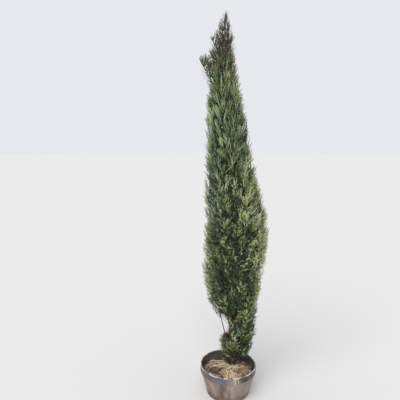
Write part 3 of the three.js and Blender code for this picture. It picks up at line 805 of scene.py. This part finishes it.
def tint_of_sprays(rng, branchlets, sprays):
    """A tint's number for every spray: by its depth, which paints shade inside the crown, its place in the
    crown and its branchlet.
    """
    points = sprays.root + sprays.direction * (sprays.length * SPRAY.tint_at)[:, None]
    x, y, height = points[:, 0], points[:, 1], points[:, 2] - POT.height
    across = np.where(y < FAR_SIDE.behind, x, FAR_SIDE.mirror - x)
    weight = {name: np.full(len(points), float(common)) for name, (_, common) in TINTS.items()}

    def more(where, **amounts):
        for name, amount in amounts.items():
            weight[name] += amount * where

    def multiply(factor, *names):
        for name in names:
            weight[name] *= factor

    for name, rows in TINT_PATCHES.items():
        for row in rows:
            weight[name] += patch(across, height, row)
    # Higher up there is less of the pale and yellow tints, and more blue-green.
    high = share_between(height, TINT_PLACES.high)
    multiply(1 - 0.45 * high, "moss", "pale", "yellow_green")
    more(high, blue_green=0.6, shade=0.3)
    # Each mass is lighter or darker as a whole by chance; tufts get painted light and the gaps between them
    # painted shade, and the grooves between masses are darkened as painted shade.
    tone_and_painted_light = 0.6 * rng.normal(0, 1, len(MASSES))[branchlets.mass][sprays.owner] + 1.3 * tuft(points)
    multiply(np.exp(0.9 * tone_and_painted_light), "pale")
    multiply(np.exp(0.7 * tone_and_painted_light), "grey_green")
    multiply(np.exp(-0.5 * tone_and_painted_light), "deep")
    multiply(np.exp(-0.7 * tone_and_painted_light) * (1 + 3 * sprays.groove), "shade")
    multiply(1 + 2 * sprays.groove, "deep")
    # Deeper in the crown the tints darken as painted shade, and the outer ends of branchlets get a painted
    # highlight.
    inside = share_between(sprays.depth, TINT_PLACES.inside)
    multiply(1 - 0.92 * inside, "pale", "yellow_green", "grey_green")
    highlit_end = (sprays.v > HIGHLIT_ENDS.along) & (sprays.depth < HIGHLIT_ENDS.depth) & (height < HIGHLIT_ENDS.below)
    multiply(np.where(highlit_end, 2, 1), "pale", "grey_green")
    multiply(1 + 2 * inside, "deep")
    multiply(1 + 4 * inside, "shade")
    more(share_between(sprays.depth, TINT_PLACES.shaded_inside) ** 1.5, dark=4)
    multiply(np.exp(-0.7 * tone_and_painted_light), "dark")
    # Near the tip and on the plumes the foliage is brown and dark, with little green.
    on_plume = 0.85 * np.clip(1.9 - 1.3 * from_plume(points), 0, 1)
    on_plume = on_plume * share_between(height, TINT_PLACES.brown_plume)
    brown = np.maximum(share_between(height, TINT_PLACES.brown), on_plume)
    multiply(1 - 0.95 * brown, *TINTS)
    more(brown, bronze=1.7, dark=0.8, shade=0.9, deep=0.3)
    weight["olive"] += patch(across, height, TIP_PATCH)
    # The foot of the crown is darkened as painted shade.
    low = share_between(height, TINT_PLACES.low)
    multiply(1 - 0.82 * low, "pale", "yellow_green", "grey_green", "moss", "olive")
    more(low, dark=2.1, shade=1.2)
    more(share_between(height, TINT_PLACES.foot), dark=3, shade=1.5)
    weight["dark"] += 0.25
    weights = np.stack(list(weight.values()), axis=1)
    cumulative = np.cumsum(weights / weights.sum(axis=1, keepdims=True), axis=1)
    by_branchlet = rng.uniform(0, 1, sprays.owner.max() + 1)[sprays.owner]
    alike = rng.uniform(0, 1, len(points)) < LIKE_BRANCHLET
    pick = np.where(alike, by_branchlet, rng.uniform(0, 1, len(points)))
    return (cumulative < pick[:, None]).sum(axis=1).clip(0, len(TINTS) - 1)


def inner_shoots(rng, branchlets):
    """The large shoots round the branchlets, deep in the crown, dark as painted shade."""
    of = np.repeat(np.arange(len(branchlets.stem)), INNER.per_branchlet)
    v = rng.uniform(0, INNER.furthest, len(of))[:, None]
    root = quadratic(branchlets.stem[of], branchlets.knee[of], branchlets.tip[of], v)
    along = unit(branchlets.tip - branchlets.stem)[of]
    direction = swung(along, rng.uniform(0.3, 1.0, len(of)), rng.uniform(0, 6.28, len(of)))
    length = rng.uniform(INNER.shortest, INNER.longest, len(of))
    kept = in_crown(root + direction * length[:, None], -INNER.deeper_than)
    radii = np.full(kept.sum(), INNER.radius)
    return spindles(rng, root[kept], direction[kept], length[kept], radii, INNER.widest)


def spray_axes(rng, sprays):
    """The green twig along each spray, which starts a little inside its branchlet."""
    root = sprays.root - sprays.direction * SPRAY.sunk
    radii = np.full(len(root), SPRAY.radius)
    return spindles(rng, root, sprays.direction, sprays.length + SPRAY.sunk, radii, SPRAY.widest)


def mass_stems():
    """The stem of each mass, from its bough or the trunk to its end."""
    stems = []
    for mass in MASSES:
        thick = mass.bough * BOUGH.taper if mass.bough else STEM.radius
        radii = STEM.tip + (thick - STEM.tip) * (1 - np.linspace(0, 1, STEM.points))
        line = bezier(mass.line, np.linspace(mass.start, 1, STEM.points))
        stems.append(tubes(line[None], radii[None], STEM.sides))
    return stems


# The most shoots in one piece, which has six faces for each.
MOST_SHOOTS = 30000


def add_foliage(name, mesh, material):
    """A piece of foliage. All of them together stand for all the masses."""
    piece = made_mesh(name, *mesh, material)
    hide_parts(*MASS_NODES)


def build_foliage():
    rng = np.random.default_rng(SEED)
    branchlets = grow_branchlets()
    sprays = grow_sprays(rng, branchlets)
    shoots = grow_shoots(rng, sprays)
    tint = tint_of_sprays(rng, branchlets, sprays)[shoots.of]
    for i, (name, (colour, _)) in enumerate(TINTS.items()):
        material = plain_material(name, colour, 0.62)
        of_tint = np.flatnonzero(tint == i)
        for k, chosen in enumerate(np.array_split(of_tint, math.ceil(len(of_tint) / MOST_SHOOTS))):
            mesh = spindles(
                rng, shoots.root[chosen], shoots.direction[chosen], shoots.length[chosen],
                shoots.radius[chosen], SHOOT.widest,
            )
            add_foliage(f"sprays_{name}_{k + 1}", mesh, material)
    add_foliage("sprays_inner", inner_shoots(rng, branchlets), plain_material("inner", INNER_SHADE_TINT, 0.7))
    add_foliage("twigs_green", spray_axes(rng, sprays), plain_material("green_twig", (92, 98, 62), 0.65))
    wood = joined([branchlet_tubes(branchlets), *mass_stems()])
    piece = made_mesh("twigs_brown", *wood, plain_material("brown_twig", (92, 74, 58), 0.75))
    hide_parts(*MASS_NODES)


def node(tree, kind, output, **inputs):
    """One output of a new shader node, whose inputs are set to values or joined to other outputs."""
    made = tree.nodes.new("ShaderNode" + kind)
    for name, value in inputs.items():
        socket = made.inputs[name.replace("_", " ")]
        if isinstance(value, bpy.types.NodeSocket):
            tree.links.new(value, socket)
        else:
            socket.default_value = value
    return made.outputs[output]


def noise_value(tree, scale, detail, stretch=(1, 1, 1)):
    """The value of a noise pattern in object coordinates, stretched along the axes."""
    place = node(tree, "TexCoord", "Object")
    mapped = node(tree, "Mapping", "Vector", Vector=place, Scale=stretch)
    return node(tree, "TexNoise", "Fac", Vector=mapped, Scale=scale, Detail=detail)


def ramp(tree, value, stops):
    """A colour ramp over a value: stops are (place, colour)."""
    node = tree.nodes.new("ShaderNodeValToRGB")
    while len(node.color_ramp.elements) < len(stops):
        node.color_ramp.elements.new(0.5)
    for element, (place, colour) in zip(node.color_ramp.elements, stops):
        element.position = place
        element.color = linear(colour)
    tree.links.new(value, node.inputs["Fac"])
    return node.outputs["Color"]


def noise_ramp(tree, stops, scale, detail, stretch=(1, 1, 1)):
    """A colour ramp over a noise pattern."""
    return ramp(tree, noise_value(tree, scale, detail, stretch), stops)


def mixed(tree, share, first, second):
    """One colour laid over another by a share socket."""
    node = tree.nodes.new("ShaderNodeMix")
    node.data_type = "RGBA"
    tree.links.new(share, node.inputs["Factor"])
    tree.links.new(first, node.inputs["A"])
    tree.links.new(second, node.inputs["B"])
    return node.outputs["Result"]


def add_bump(tree, shader, value, strength, distance):
    normal = node(tree, "Bump", "Normal", Strength=strength, Distance=distance, Height=value)
    tree.links.new(normal, shader.inputs["Normal"])


def share_by_height(tree, low, high):
    """A share that goes from 0 to 1 between two heights in millimetres."""
    height = node(tree, "SeparateXYZ", "Z", Vector=node(tree, "TexCoord", "Object"))
    return node(tree, "MapRange", "Result", Value=height, From_Min=low * MM, From_Max=high * MM)


# Stringy bark, its colours darkened as painted shade from the crown above.
def shaded_bark_material():
    material, tree, shader = node_material("bark", 0.85)
    strings = noise_value(tree, 60, 6, (1, 1, 0.12))
    stops = [(0.3, (44, 36, 32)), (0.5, (76, 64, 56)), (0.68, (112, 98, 86))]
    tree.links.new(ramp(tree, strings, stops), shader.inputs["Base Color"])
    add_bump(tree, shader, strings, 0.6, 0.002)
    return material


BARK = SimpleNamespace(
    trunk_rings=320, trunk_sides=40, trunk_relief=1.5, bough_rings=16, bough_sides=14, bough_relief=0.5,
    strands=3.2, stretch=0.11, crowding=1.15,
)


def bark_tube(line, radii, sides, relief):
    """A tube with stringy bark ridges: radii follow the line, and relief is the ridges' height."""
    corners, faces = tubes(line[None], radii[None], sides)
    outward = unit(corners - np.repeat(line, sides, axis=0))
    turn = np.tile(np.arange(sides) * 2 * math.pi / sides, len(line))
    height = np.repeat(np.arange(len(line)), sides)
    for i in range(len(corners)):
        strand = Vector(BARK.strands * heading(turn[i]) + [0, 0, BARK.stretch * height[i]])
        lift = abs(noise.noise(strand)) * 1.6 - 0.3 + 0.35 * noise.noise(strand * 2.7)
        corners[i] += outward[i] * relief * lift
    return corners, faces


def trunk_line(rings):
    """The trunk's points and radii with its flared foot, closer together towards the foot."""
    t = np.linspace(0, 1, rings) ** BARK.crowding
    rows = rows_at(TRUNK_LINE, TRUNK_LINE[0, 0] + (TRUNK_LINE[-1, 0] - TRUNK_LINE[0, 0]) * t)
    foot = np.exp((TRUNK_LINE[0, 0] - rows[:, 0]) / FLARE.height)
    return rows[:, [1, 2, 0]], rows[:, 3] * (1 + FLARE.grow * foot), foot


def build_trunk(bark):
    sides = BARK.trunk_sides
    points, radii, foot = trunk_line(BARK.trunk_rings)
    corners, faces = bark_tube(points, radii, sides, BARK.trunk_relief)
    offset = (corners - np.repeat(points, sides, axis=0))[:, :2]
    turn = np.arctan2(offset[:, 1], offset[:, 0])
    lobes = FLARE.lobe_share * np.repeat(foot, sides) * np.cos(FLARE.lobes * turn)
    corners[:, :2] += offset * lobes[:, None]
    corners[:, 2] = np.maximum(corners[:, 2], TRUNK_LINE[0, 0])
    trunk = made_mesh("trunk_bark", corners, faces, bark)
    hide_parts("trunk")


def build_boughs(bark):
    t = np.linspace(0, 1, BARK.bough_rings)
    thick = 1 + BOUGH.flare * (1 - t) ** 6
    limbs = []
    for mass in MASSES:
        if mass.bough:
            radii = mass.bough * thick * (1 - (1 - BOUGH.taper) * t)
            line = bezier(mass.line, BOUGH.share * t)
            limbs.append(bark_tube(line, radii, BARK.bough_sides, BARK.bough_relief))
    boughs = made_mesh("bough_bark", *joined(limbs), bark)
    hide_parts(*[f"bough_{mass.name}" for mass in MASSES if mass.bough])


FOOT_STEMS = SimpleNamespace(
    count=36, rise_from=(16, 60), reach=(14, 70), rise=(40, 120), radius=2.6, points=9, sides=6,
)


def build_foot_stems():
    """Thin dead stems that stand round the trunk's foot and reach into the lowest foliage, coloured darker
    as painted shade under the crown.
    """
    rng = np.random.default_rng(SEED + 9)
    foot_x, foot_y = TRUNK_LINE[0, 1:3]
    lines, radii = [], []
    for i in range(FOOT_STEMS.count):
        out = heading(math.radians(i * GOLDEN_ANGLE))
        near = TRUNK_LINE[0, 3] * rng.uniform(0.7, 0.9)
        start = [foot_x, foot_y, TRUNK_LINE[0, 0] + rng.uniform(*FOOT_STEMS.rise_from)] + out * near
        away = rng.uniform(*FOOT_STEMS.reach)
        rise = rng.uniform(*FOOT_STEMS.rise)
        middle = start + out * away * 0.7 + [0, 0, rise * 0.35]
        end = start + out * away + [0, 0, rise]
        t = np.linspace(0, 1, FOOT_STEMS.points)[:, None]
        lines.append(quadratic(start, middle, end, t))
        radii.append(FOOT_STEMS.radius * rng.uniform(0.6, 1.1) * (1 - 0.7 * t[:, 0]))
    stems = tubes(np.array(lines), np.array(radii), FOOT_STEMS.sides)
    piece = made_mesh("foot_stems", *stems, plain_material("dead_stem", (56, 46, 40), 0.85))
    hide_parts("trunk")


def turned(profile, sides):
    """A profile of (radius, height) turned round the Z axis. It starts and ends on the axis."""
    turn = np.arange(sides) * 2 * math.pi / sides
    corners = [[0, 0, profile[0][1]]]
    for radius, z in profile[1:-1]:
        corners += [[radius * math.cos(a), radius * math.sin(a), z] for a in turn]
    corners.append([0, 0, profile[-1][1]])
    rings, last, faces = len(profile) - 2, len(corners) - 1, []
    for k in range(sides):
        after = (k + 1) % sides
        faces.append([0, 1 + after, 1 + k])
        for ring in range(rings - 1):
            a, b = 1 + ring * sides, 1 + (ring + 1) * sides
            faces += [[a + k, a + after, b + after], [a + k, b + after, b + k]]
        top = 1 + (rings - 1) * sides
        faces.append([top + k, top + after, last])
    return np.array(corners, float), np.array(faces)


def rounded(profile, radius, steps=4):
    """A profile with its corners rounded by arcs of about a radius."""
    points = [np.array(p, float) for p in profile]
    smooth = [points[0]]
    for before, corner, after in zip(points, points[1:], points[2:]):
        cut = min(radius, 0.45 * np.linalg.norm(corner - before), 0.45 * np.linalg.norm(after - corner))
        start, end = corner + unit(before - corner) * cut, corner + unit(after - corner) * cut
        for t in np.linspace(0, 1, steps + 1):
            smooth.append(quadratic(start, corner, end, t))
    return smooth + [points[-1]]


def with_worn_and_highlit_rim(tree, colour):
    """A colour with the pale edge of the rim over it: partly wear, partly a painted highlight."""
    edge = noise_ramp(tree, [(0.4, (112, 110, 112)), (0.62, (208, 204, 198))], 26, 4)
    return mixed(tree, share_by_height(tree, POT.height - 4, POT.height - 1), colour, edge)


def outer_plastic():
    """Faded plastic, patchy on the collar and with dust and mud below it."""
    material, tree, shader = node_material("faded plastic", 0.66)
    plastic_stops = [(0.34, (56, 56, 61)), (0.5, (88, 86, 91)), (0.66, (124, 120, 123))]
    plastic = noise_ramp(tree, plastic_stops, 11, 6)
    pink = noise_ramp(tree, [(0.35, (122, 103, 98)), (0.65, (152, 132, 124))], 30, 6)
    patchy = noise_ramp(tree, [(0.47, (0, 0, 0)), (0.6, (255, 255, 255))], 5.5, 7)
    dust_stops = [
        (0.3, (84, 70, 62)), (0.45, (128, 112, 102)), (0.6, (156, 140, 130)), (0.75, (190, 176, 166)),
    ]
    dust = noise_ramp(tree, dust_stops, 16, 7, (1, 1, 0.3))
    mud = noise_ramp(tree, [(0.35, (92, 72, 58)), (0.65, (134, 108, 90))], 24, 7)
    colour = mixed(tree, patchy, plastic, pink)
    colour = mixed(tree, share_by_height(tree, COLLAR_FOOT + 6, COLLAR_FOOT - 8), colour, dust)
    colour = mixed(tree, share_by_height(tree, 46, 18), colour, mud)
    tree.links.new(with_worn_and_highlit_rim(tree, colour), shader.inputs["Base Color"])
    add_bump(tree, shader, noise_value(tree, 120, 4), 0.25, 0.001)
    return material


def shaded_inner_plastic():
    """The inner wall: stained, and darker as painted shade inside the pot."""
    material, tree, shader = node_material("inner plastic", 0.75)
    stained = noise_ramp(tree, [(0.35, (58, 56, 54)), (0.65, (92, 88, 84))], 18, 6)
    tree.links.new(with_worn_and_highlit_rim(tree, stained), shader.inputs["Base Color"])
    return material


def cut_drain_holes(pot):
    """Holes through the wall round its foot, each cut with a short bar that points outwards."""
    for i in range(POT.drain_holes):
        out = heading(2 * math.pi * (i + 0.5) / POT.drain_holes)
        ends = (POT.foot_radius - 10, POT.foot_radius + 10)
        line = np.array([out * reach + [0, 0, POT.drain_height] for reach in ends])
        bar = tubes(line[None], np.full((1, 2), POT.drain_radius), 20)
        cutter = made_mesh("cutter", *bar, pot.data.materials[0])
        cut = pot.modifiers.new("drain hole", "BOOLEAN")
        cut.operation = "DIFFERENCE"
        cut.object = cutter
        with bpy.context.temp_override(object=pot, active_object=pot):
            bpy.ops.object.modifier_apply(modifier=cut.name)
        bpy.data.objects.remove(cutter)


def build_pot():
    profile = [
        (0, 0), (POT.foot_radius - 3, 0), (POT.foot_radius, 3), (NECK, COLLAR_FOOT),
        (POT.rim_radius, COLLAR_FOOT + 2), (POT.rim_radius, POT.height - 2.5),
        (POT.rim_radius - 1.25, POT.height), (POT.rim_radius - 4.25, POT.height),
        (POT.rim_radius - 6, POT.height - 2.5), (NECK - POT.wall, COLLAR_FOOT),
        (POT.foot_radius - POT.wall, POT.floor), (0, POT.floor),
    ]
    corners, faces = turned(rounded(profile, 1.6), 144)
    pot = made_mesh("pot_shell", corners, faces, outer_plastic())
    # The inner wall takes the darker material, as painted shade inside the pot.
    pot.data.materials.append(shaded_inner_plastic())
    for face in pot.data.polygons:
        inwards = face.normal.x * face.center.x + face.normal.y * face.center.y < 0
        face.material_index = int(inwards and face.center.z > POT.floor * MM)
    cut_drain_holes(pot)
    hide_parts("pot")


def from_foot(x, y):
    """How far level places are from the middle of the trunk's foot."""
    return np.hypot(x - TRUNK_LINE[0, 1], y - TRUNK_LINE[0, 2])


def soil_height(x, y):
    """How high the soil stands: flat round the trunk's foot, uneven elsewhere, heaped in front."""
    open_share = share_between(from_foot(x, y), (SOIL.foot, SOIL.foot + SOIL.slope))
    waves = 3 * np.sin(0.06 * x + 1) * np.cos(0.05 * y) + 2 * np.sin(0.11 * x + 0.09 * y)
    heap = SOIL.heap * np.exp(
        -((x - SOIL.heap_at[0]) ** 2 + (y - SOIL.heap_at[1]) ** 2) / SOIL.heap_width**2
    )
    return SOIL.level + open_share * (waves + heap)


def inside_pot(height):
    """The radius that the soil has in the pot at a height."""
    share = (height - POT.floor) / (COLLAR_FOOT - POT.floor)
    return POT.foot_radius + (NECK - POT.foot_radius) * share - POT.wall - SOIL.gap


def soil_material():
    material, tree, shader = node_material("soil", 0.95)
    stops = [(0.34, (36, 30, 26)), (0.5, (92, 76, 64)), (0.66, (158, 138, 120))]
    tree.links.new(noise_ramp(tree, stops, 45, 8), shader.inputs["Base Color"])
    add_bump(tree, shader, noise_value(tree, 260, 6), 0.7, 0.002)
    return material


def flat_rings(radius, rings):
    """A profile along the soil's level, from a radius in to the axis."""
    return [(radius * i / rings, SOIL.level) for i in range(rings, 0, -1)] + [(0, SOIL.level)]


def add_lumps(corners, chosen, per_mm, broad, fine, finer_by, lift=0):
    """Broad and fine lumps on the chosen corners, by a noise with so many waves per millimetre."""
    for i in np.flatnonzero(chosen):
        place = Vector(corners[i] * [per_mm, per_mm, 0])
        corners[i, 2] += broad * noise.noise(place) + fine * abs(noise.noise(place * finer_by)) + lift


def build_soil():
    edge_height = SOIL.level - SOIL.edge_drop
    edge = inside_pot(edge_height)
    low = POT.floor + SOIL.gap
    profile = [(0, low), (inside_pot(low), low), (edge, edge_height), *flat_rings(edge - 1, 44)]
    corners, faces = turned(profile, 110)
    away = np.hypot(corners[:, 0], corners[:, 1])
    top = (corners[:, 2] > SOIL.level - 1) & (away < edge - 3)
    corners[top, 2] = soil_height(corners[top, 0], corners[top, 1])
    add_lumps(corners, top, per_mm=0.07, broad=2.2, fine=1.6, finer_by=3.1)
    soil = made_mesh("soil_top", corners, faces, soil_material())
    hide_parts("potting_soil")


STRAW = SimpleNamespace(
    count=300, longest=115, shortest=40, wide=5.2, thick=1.2, heap_at=(30, -30), spread=30, pile=44,
    pile_radius=50, mound=76, ring_at=(-4, -24), ring=100, ring_spread=13, ring_share=0.66,
    hollows=((-42, -62, 30), (70, -62, 22), (-84, 10, 24)), colours=(
        ("straw_pale", (242, 224, 192)), ("straw_tan", (206, 178, 142)), ("straw_grey", (142, 122, 104)),
    ),
)
DRY_LEAVES = SimpleNamespace(count=60, longest=24, wide=11, at=(84, -20), spread=30)
# Straws that hang over the rim in front: x, how far they lean in x, and how far down they reach.
HANGING = [(18, 4, 34), (27, 1, 46), (34, -3, 30), (40, 5, 22)]


def straw_height(x, y):
    """How high the litter lies: a heap in front of the trunk's foot on the uneven soil."""
    away = (x - STRAW.heap_at[0]) ** 2 + (y - STRAW.heap_at[1]) ** 2
    return soil_height(x, y) + STRAW.pile * np.exp(-away / STRAW.pile_radius**2)


def strand(line, wide, thick):
    """One flat straw along a line of points: a three-sided strip that narrows to its end."""
    t = np.linspace(0, 1, len(line))[:, None]
    side = unit(np.cross(line[-1] - line[0], [0, 0, 1.0]))
    width = wide * (1 - 0.5 * t**2)
    ring = np.stack([
        line + side * width / 2 + [0, 0, -thick / 2], line + [0, 0, thick / 2],
        line - side * width / 2 + [0, 0, -thick / 2],
    ], axis=1)
    faces = []
    last = 3 * (len(line) - 1)
    for i in range(0, last, 3):
        for k in range(3):
            a, b = i + k, i + (k + 1) % 3
            faces += [[a, a + 3, b + 3], [a, b + 3, b]]
    faces += [[0, 1, 2], [last, last + 2, last + 1]]
    return ring.reshape(-1, 3), np.array(faces)


def lying_straw(rng):
    """A straw's line on the litter: in the heap, or along the ring that lies round the hollows."""
    while True:
        turn = rng.uniform(0, 2 * math.pi)
        along = heading(turn)[:2]
        if rng.uniform() < STRAW.ring_share:
            out = STRAW.ring + rng.normal(0, STRAW.ring_spread)
            middle = STRAW.ring_at + out * np.array([-along[1], 0.85 * along[0]])
            along = unit(along + rng.normal(0, 0.5, 2))
        else:
            middle = rng.normal(STRAW.heap_at, STRAW.spread, 2)
        length = rng.uniform(STRAW.shortest, STRAW.longest)
        t = np.linspace(-0.5, 0.5, 6)[:, None]
        bend = rng.normal(0, 7) * (0.25 - t**2) * 4
        level = middle + along * length * t + np.array([-along[1], along[0]]) * bend
        off_trunk = from_foot(level[:, 0], level[:, 1]).min() > TRUNK_LINE[0, 3]
        inside = np.hypot(level[:, 0], level[:, 1]).max() < inside_pot(SOIL.level) - 2
        in_a_hollow = any(np.hypot(level[:, 0] - x, level[:, 1] - y).min() < r for x, y, r in STRAW.hollows)
        if inside and off_trunk and not in_a_hollow:
            break
    rest = straw_height(level[:, 0], level[:, 1])
    # A straw is stiff, so it lies on the highest places below it.
    slope = (rest[-1] - rest[0]) * (t[:, 0] + 0.5) + rest[0]
    lift = max(0, (rest - slope).max()) + rng.uniform(-3, 5)
    return np.column_stack([level, slope + lift])


def hanging_straw(x, lean, down):
    """The line of a straw from the litter over the rim and down in front of the collar."""
    rim = -POT.rim_radius + 3
    return np.array([
        [x - lean, rim + 62, straw_height(x - lean, rim + 62) + 6], [x, rim + 22, POT.height - 10],
        [x + 0.4 * lean, rim, POT.height + 1.5], [x + 0.8 * lean, rim - 5.5, POT.height - 6],
        [x + 1.2 * lean, rim - 5.5, POT.height - down],
    ])


def build_mound():
    """The heap of matted litter in front of the trunk's foot, under the straws."""
    foot = SOIL.level - 8
    corners, faces = turned([(0, foot), (STRAW.mound, foot), *flat_rings(STRAW.mound, 26)], 72)
    top = corners[:, 2] > SOIL.level - 1
    corners[:, :2] += STRAW.heap_at
    corners[top, 2] = straw_height(corners[top, 0], corners[top, 1]) - 1.5
    add_lumps(corners, top, per_mm=0.09, broad=3, fine=2.5, finer_by=3.3, lift=-1)
    material, tree, shader = node_material("matted litter", 0.9)
    stops = [(0.35, (64, 52, 42)), (0.5, (132, 110, 86)), (0.65, (196, 170, 136))]
    tree.links.new(noise_ramp(tree, stops, 70, 6), shader.inputs["Base Color"])
    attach(made_mesh("litter_mound", corners, faces, material), "root")


def build_straw():
    rng = np.random.default_rng(SEED + 5)
    for name, colour in STRAW.colours:
        strands = []
        for _ in range(STRAW.count // len(STRAW.colours)):
            strands.append(strand(lying_straw(rng), STRAW.wide * rng.uniform(0.45, 1.15), STRAW.thick))
        if name == "straw_pale":
            strands += [strand(hanging_straw(*row), STRAW.wide * 0.6, STRAW.thick) for row in HANGING]
        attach(made_mesh(name, *joined(strands), plain_material(name, colour, 0.75)), "root")


def build_dry_leaves():
    """Dead leaves on the right of the litter, each a pointed blade of four faces."""
    rng = np.random.default_rng(SEED + 6)
    corners, faces = [], []
    while len(corners) < 4 * DRY_LEAVES.count:
        x, y = rng.normal(DRY_LEAVES.at, DRY_LEAVES.spread, 2)
        if np.hypot(x, y) > inside_pot(SOIL.level) - DRY_LEAVES.longest:
            continue
        turn = rng.uniform(0, 2 * math.pi)
        along = heading(turn) + [0, 0, rng.uniform(-0.1, 0.3)]
        side = np.array([-along[1], along[0], rng.uniform(-0.3, 0.3)]) * DRY_LEAVES.wide
        side = side * rng.uniform(0.3, 0.6)
        middle = np.array([x, y, straw_height(x, y) + rng.uniform(2, 6)])
        half = along * DRY_LEAVES.longest * rng.uniform(0.3, 0.5)
        first = len(corners)
        corners += [middle - half, middle + side, middle + half, middle - side + [0, 0, 1.2]]
        faces += [[first, first + 1, first + 3], [first + 1, first + 2, first + 3]]
        faces += [[first, first + 3, first + 1], [first + 1, first + 3, first + 2]]
    material = plain_material("dry_leaf", (168, 128, 108), 0.8)
    leaves = made_mesh("dry_leaves", np.array(corners), np.array(faces), material)
    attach(leaves, "root")


# The camera stands where the photograph was taken, in metres and degrees.
CAMERA = SimpleNamespace(at=(-0.16262, -2.15775, 1.4497), down=8.5, sensor=36, lens=36)
SKY = SimpleNamespace(colour=(0.88, 0.9, 0.94, 1), strength=0.9)
SUN = SimpleNamespace(strength=2.4, wide=50, tilt=(38, -22))
FLOOR = SimpleNamespace(radius=45, sides=96, colour=(206, 204, 202), roughness=0.9)


def add_camera():
    camera = put("camera", bpy.data.cameras.new("camera"))
    camera.data.sensor_width = CAMERA.sensor
    camera.data.lens = CAMERA.lens
    camera.location = CAMERA.at
    camera.rotation_euler = (math.radians(90 - CAMERA.down), 0, 0)
    bpy.context.scene.camera = camera


def add_light():
    """A soft sky and a wide soft sun."""
    world = bpy.data.worlds.new("soft light")
    world.use_nodes = True
    background = world.node_tree.nodes["Background"]
    background.inputs["Color"].default_value = SKY.colour
    background.inputs["Strength"].default_value = SKY.strength
    bpy.context.scene.world = world
    bpy.context.scene.view_settings.view_transform = "Standard"
    sun = put("soft sun", bpy.data.lights.new("soft sun", "SUN"))
    sun.data.energy = SUN.strength
    sun.data.angle = math.radians(SUN.wide)
    sun.rotation_euler = (math.radians(SUN.tilt[0]), math.radians(SUN.tilt[1]), 0)


def add_floor():
    mesh = bpy.data.meshes.new("floor")
    edge = [FLOOR.radius * heading(2 * math.pi * i / FLOOR.sides) for i in range(FLOOR.sides)]
    mesh.from_pydata(edge, [], [list(range(FLOOR.sides))])
    mesh.materials.append(plain_material("pale floor", FLOOR.colour, FLOOR.roughness))
    floor = put("floor", mesh)


build_foliage()
bark = shaded_bark_material()
build_trunk(bark)
build_boughs(bark)
build_foot_stems()
build_pot()
build_soil()
build_mound()
build_straw()
build_dry_leaves()
add_camera()
add_light()
add_floor()
